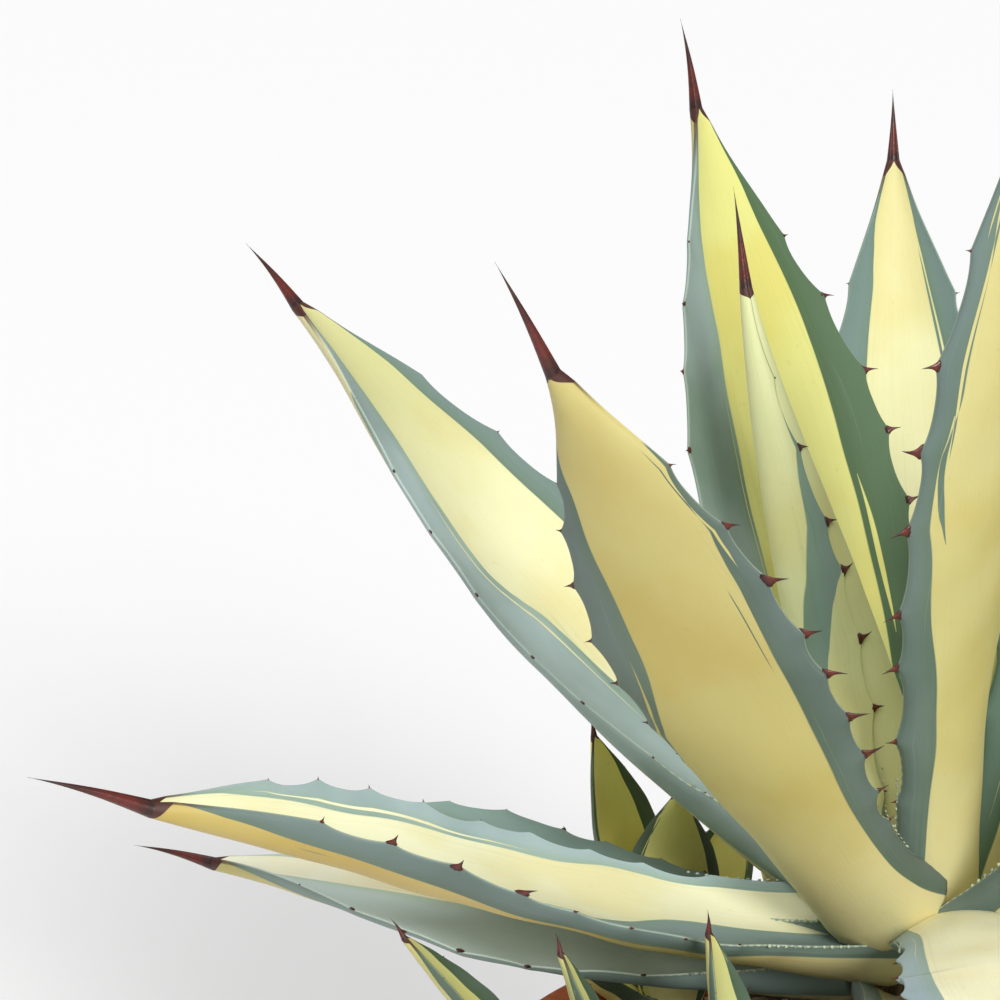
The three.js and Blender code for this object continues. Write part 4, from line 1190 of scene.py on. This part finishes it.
# at: where it comes up; steep: rise of its innermost leaf; turn: that leaf's compass direction;
# next: turn from one leaf to the next; lean: how far the offset leans, along X and Y. Those of
# one name have grown together.
OFFSETS = [
    dict(name="offset_back_left_a", at=(-52, 122), size=1.15, steep=84, turn=92, next=137.5,
         lean=(-0.1, 0.2)),
    dict(name="offset_back_left_b", at=(-113, 84), size=1.33, steep=84, turn=140, next=137.5,
         lean=(-0.2, 0.12)),
    dict(name="offset_front_left", at=(-126, -66), size=1.3, steep=55, turn=184, next=62,
         lean=(-0.1, 0)),
    dict(name="offset_front_left", at=(-98, -107), size=1.14, steep=74, turn=178, next=62,
         lean=(-0.1, -0.05)),
    dict(name="offset_front_left", at=(-56, -131), size=1.24, steep=84, turn=160, next=42,
         lean=(-0.12, -0.05)),
    dict(name="offset_behind", at=(62, 112), size=0.7, steep=84, turn=30, next=137.5,
         lean=(0.1, 0.2)),
    dict(name="offset_right", at=(122, -70), size=0.62, steep=84, turn=10, next=137.5,
         lean=(0.2, -0.1)),
]
OFFSET_STRIPE = [(0, 0.7), (0.5, 0.66), (0.8, 0.7), (1, 1.0)]
OFFSET_LEAVES = 4
OFFSET_SPREAD = 48
OFFSET_LEAN = 60
OFFSET_SHORTER = 0.34
OFFSET_LENGTH = 92
OFFSET_WIDTH = 34
OFFSET_SPINE = 8
OFFSET_SEED = 900
# The stalk: its radius, its depth in the soil, and how high above the soil its collar and its
# top lie
STALK = {"radius": 7.5, "depth": 26, "collar_radius": 9, "collar": 8, "top": 17}
STALK_FACE_HEIGHT = 4
STALK_SIDES = 24

offset_skin = leaf_skin(
    "offset", stripe=[(208, 208, 138), (204, 202, 134)],
    margin=[(66, 88, 62), (74, 94, 70)], brown_from=0.9, wax_and_side_light=(0.1, 0.1))
# Painted light: the back offsets' skin is lighter than the offsets' own colour, to make up for the
# shade that the large leaves cast on them
lightened_against_shade_offset_skin = leaf_skin(
    "lightened_against_shade_offset", stripe=[(250, 248, 150), (250, 246, 150)],
    margin=[(74, 98, 64), (78, 100, 70)], brown_from=0.9, wax_and_side_light=(0.1, 0.1))


def offset_leaf(offset, number, seed):
    """One leaf of an offset, described as the large leaves are, with plain even margins."""
    share = number / (OFFSET_LEAVES - 1)
    size = offset["size"]
    az = offset["turn"] + number * offset["next"]
    toward = math.radians(az)
    leaning = offset["lean"][0] * math.cos(toward) + offset["lean"][1] * math.sin(toward)
    steep = lerp(offset["steep"], OFFSET_SPREAD, share) - OFFSET_LEAN * leaning
    ground = soil_height(*offset["at"])
    return dict(
        az=az, sway=6, length=OFFSET_LENGTH * size * (1 - OFFSET_SHORTER * share),
        width=OFFSET_WIDTH * size, stripe=OFFSET_STRIPE,
        rise=(steep - 14, steep, steep + 4), fold=(80, 48, 40), roll=(0, 0),
        seat=(2 + 2 * share, ground + 14 - 5 * share), origin=offset["at"],
        spine=OFFSET_SPINE * size, teeth=3, plain=True, tooth_scale=0.45, thick=0.42,
        seed=seed, rows=70, columns=17)


def offset_stalk(offset):
    """The stalk of an offset, which tapers to a blunt point between its leaves."""
    ground = soil_height(*offset["at"])
    foot = ground - STALK["depth"]
    top = ground + STALK["top"] * offset["size"]
    profile = finer([
        (0, foot), (STALK["radius"], foot), (STALK["collar_radius"], ground + STALK["collar"]),
        (1, top), (0, top),
    ], STALK_FACE_HEIGHT)
    points, faces = turned(profile, STALK_SIDES, offset["at"])
    stalk = LeafMesh()
    for point in points:
        stalk.add(point, 0.05, 0.2)
    for face in faces:
        stalk.face(face, SKIN)
    return stalk


clumps = {}
for index, offset in enumerate(OFFSETS):
    meshes = clumps.setdefault(offset["name"], [])
    meshes.append(offset_stalk(offset))
    for number in range(OFFSET_LEAVES):
        seed = OFFSET_SEED + 20 * index + number
        meshes.append(leaf_mesh(offset_leaf(offset, number, seed)))
for name, meshes in clumps.items():
    # The back offsets take the skin that is painted lighter against their shade
    skin = lightened_against_shade_offset_skin if name.startswith("offset_back") else offset_skin
    leaf_piece(name + "_rosette", meshes, name, skin, horn)

# What the plant stands on while it is looked at: a plain pale floor under two broad soft lights,
# one from almost overhead and one from the front and right, and even light from all round.

# Half the floor's side, in metres
FLOOR = 40

floor_mesh = bpy.data.meshes.new("floor")
floor_mesh.from_pydata(
    [(-FLOOR, -FLOOR, 0), (FLOOR, -FLOOR, 0), (FLOOR, FLOOR, 0), (-FLOOR, FLOOR, 0)], [],
    [(0, 1, 2, 3)])
floor = bpy.data.objects.new("floor", floor_mesh)
bpy.context.scene.collection.objects.link(floor)
pale_floor, tree, shader = finish_of("pale_floor")
shader.inputs["Base Color"].default_value = (0.96, 0.96, 0.96, 1.0)
shader.inputs["Roughness"].default_value = 0.9
floor_mesh.materials.append(pale_floor)


def soft_light(name, az, elevation, spread, strength):
    """Broad light from a compass direction and a height above the horizon."""
    lamp = bpy.data.lights.new(name, "SUN")
    lamp.angle = math.radians(spread)
    lamp.energy = strength
    lamp_object = bpy.data.objects.new(name, lamp)
    az = math.radians(az)
    elevation = math.radians(elevation)
    toward = Vector((
        math.cos(az) * math.cos(elevation), math.sin(az) * math.cos(elevation),
        math.sin(elevation)))
    lamp_object.rotation_euler = toward.to_track_quat("Z", "Y").to_euler()
    bpy.context.scene.collection.objects.link(lamp_object)


soft_light("front", az=-66, elevation=24, spread=16, strength=2.45)
soft_light("overhead", az=-100, elevation=80, spread=40, strength=1.1)

world = bpy.data.worlds.new("studio")
bpy.context.scene.world = world
world.use_nodes = True
sky = world.node_tree.nodes["Background"]
sky.inputs["Color"].default_value = (1.0, 1.0, 1.0, 1.0)
sky.inputs["Strength"].default_value = 0.37
bpy.context.scene.view_settings.view_transform = "Standard"

# In metres
CAMERA_PLACE = Vector((0.0, -1.5035, 0.9072))
CAMERA_AIM = Vector((-0.1858, 0.0575, 0.5180))
lens = bpy.data.cameras.new("camera")
lens.lens = 137
lens.sensor_width = 36
camera = bpy.data.objects.new("camera", lens)
camera.location = CAMERA_PLACE
camera.rotation_euler = (CAMERA_AIM - CAMERA_PLACE).to_track_quat("-Z", "Y").to_euler()
bpy.context.scene.collection.objects.link(camera)
bpy.context.scene.camera = camera
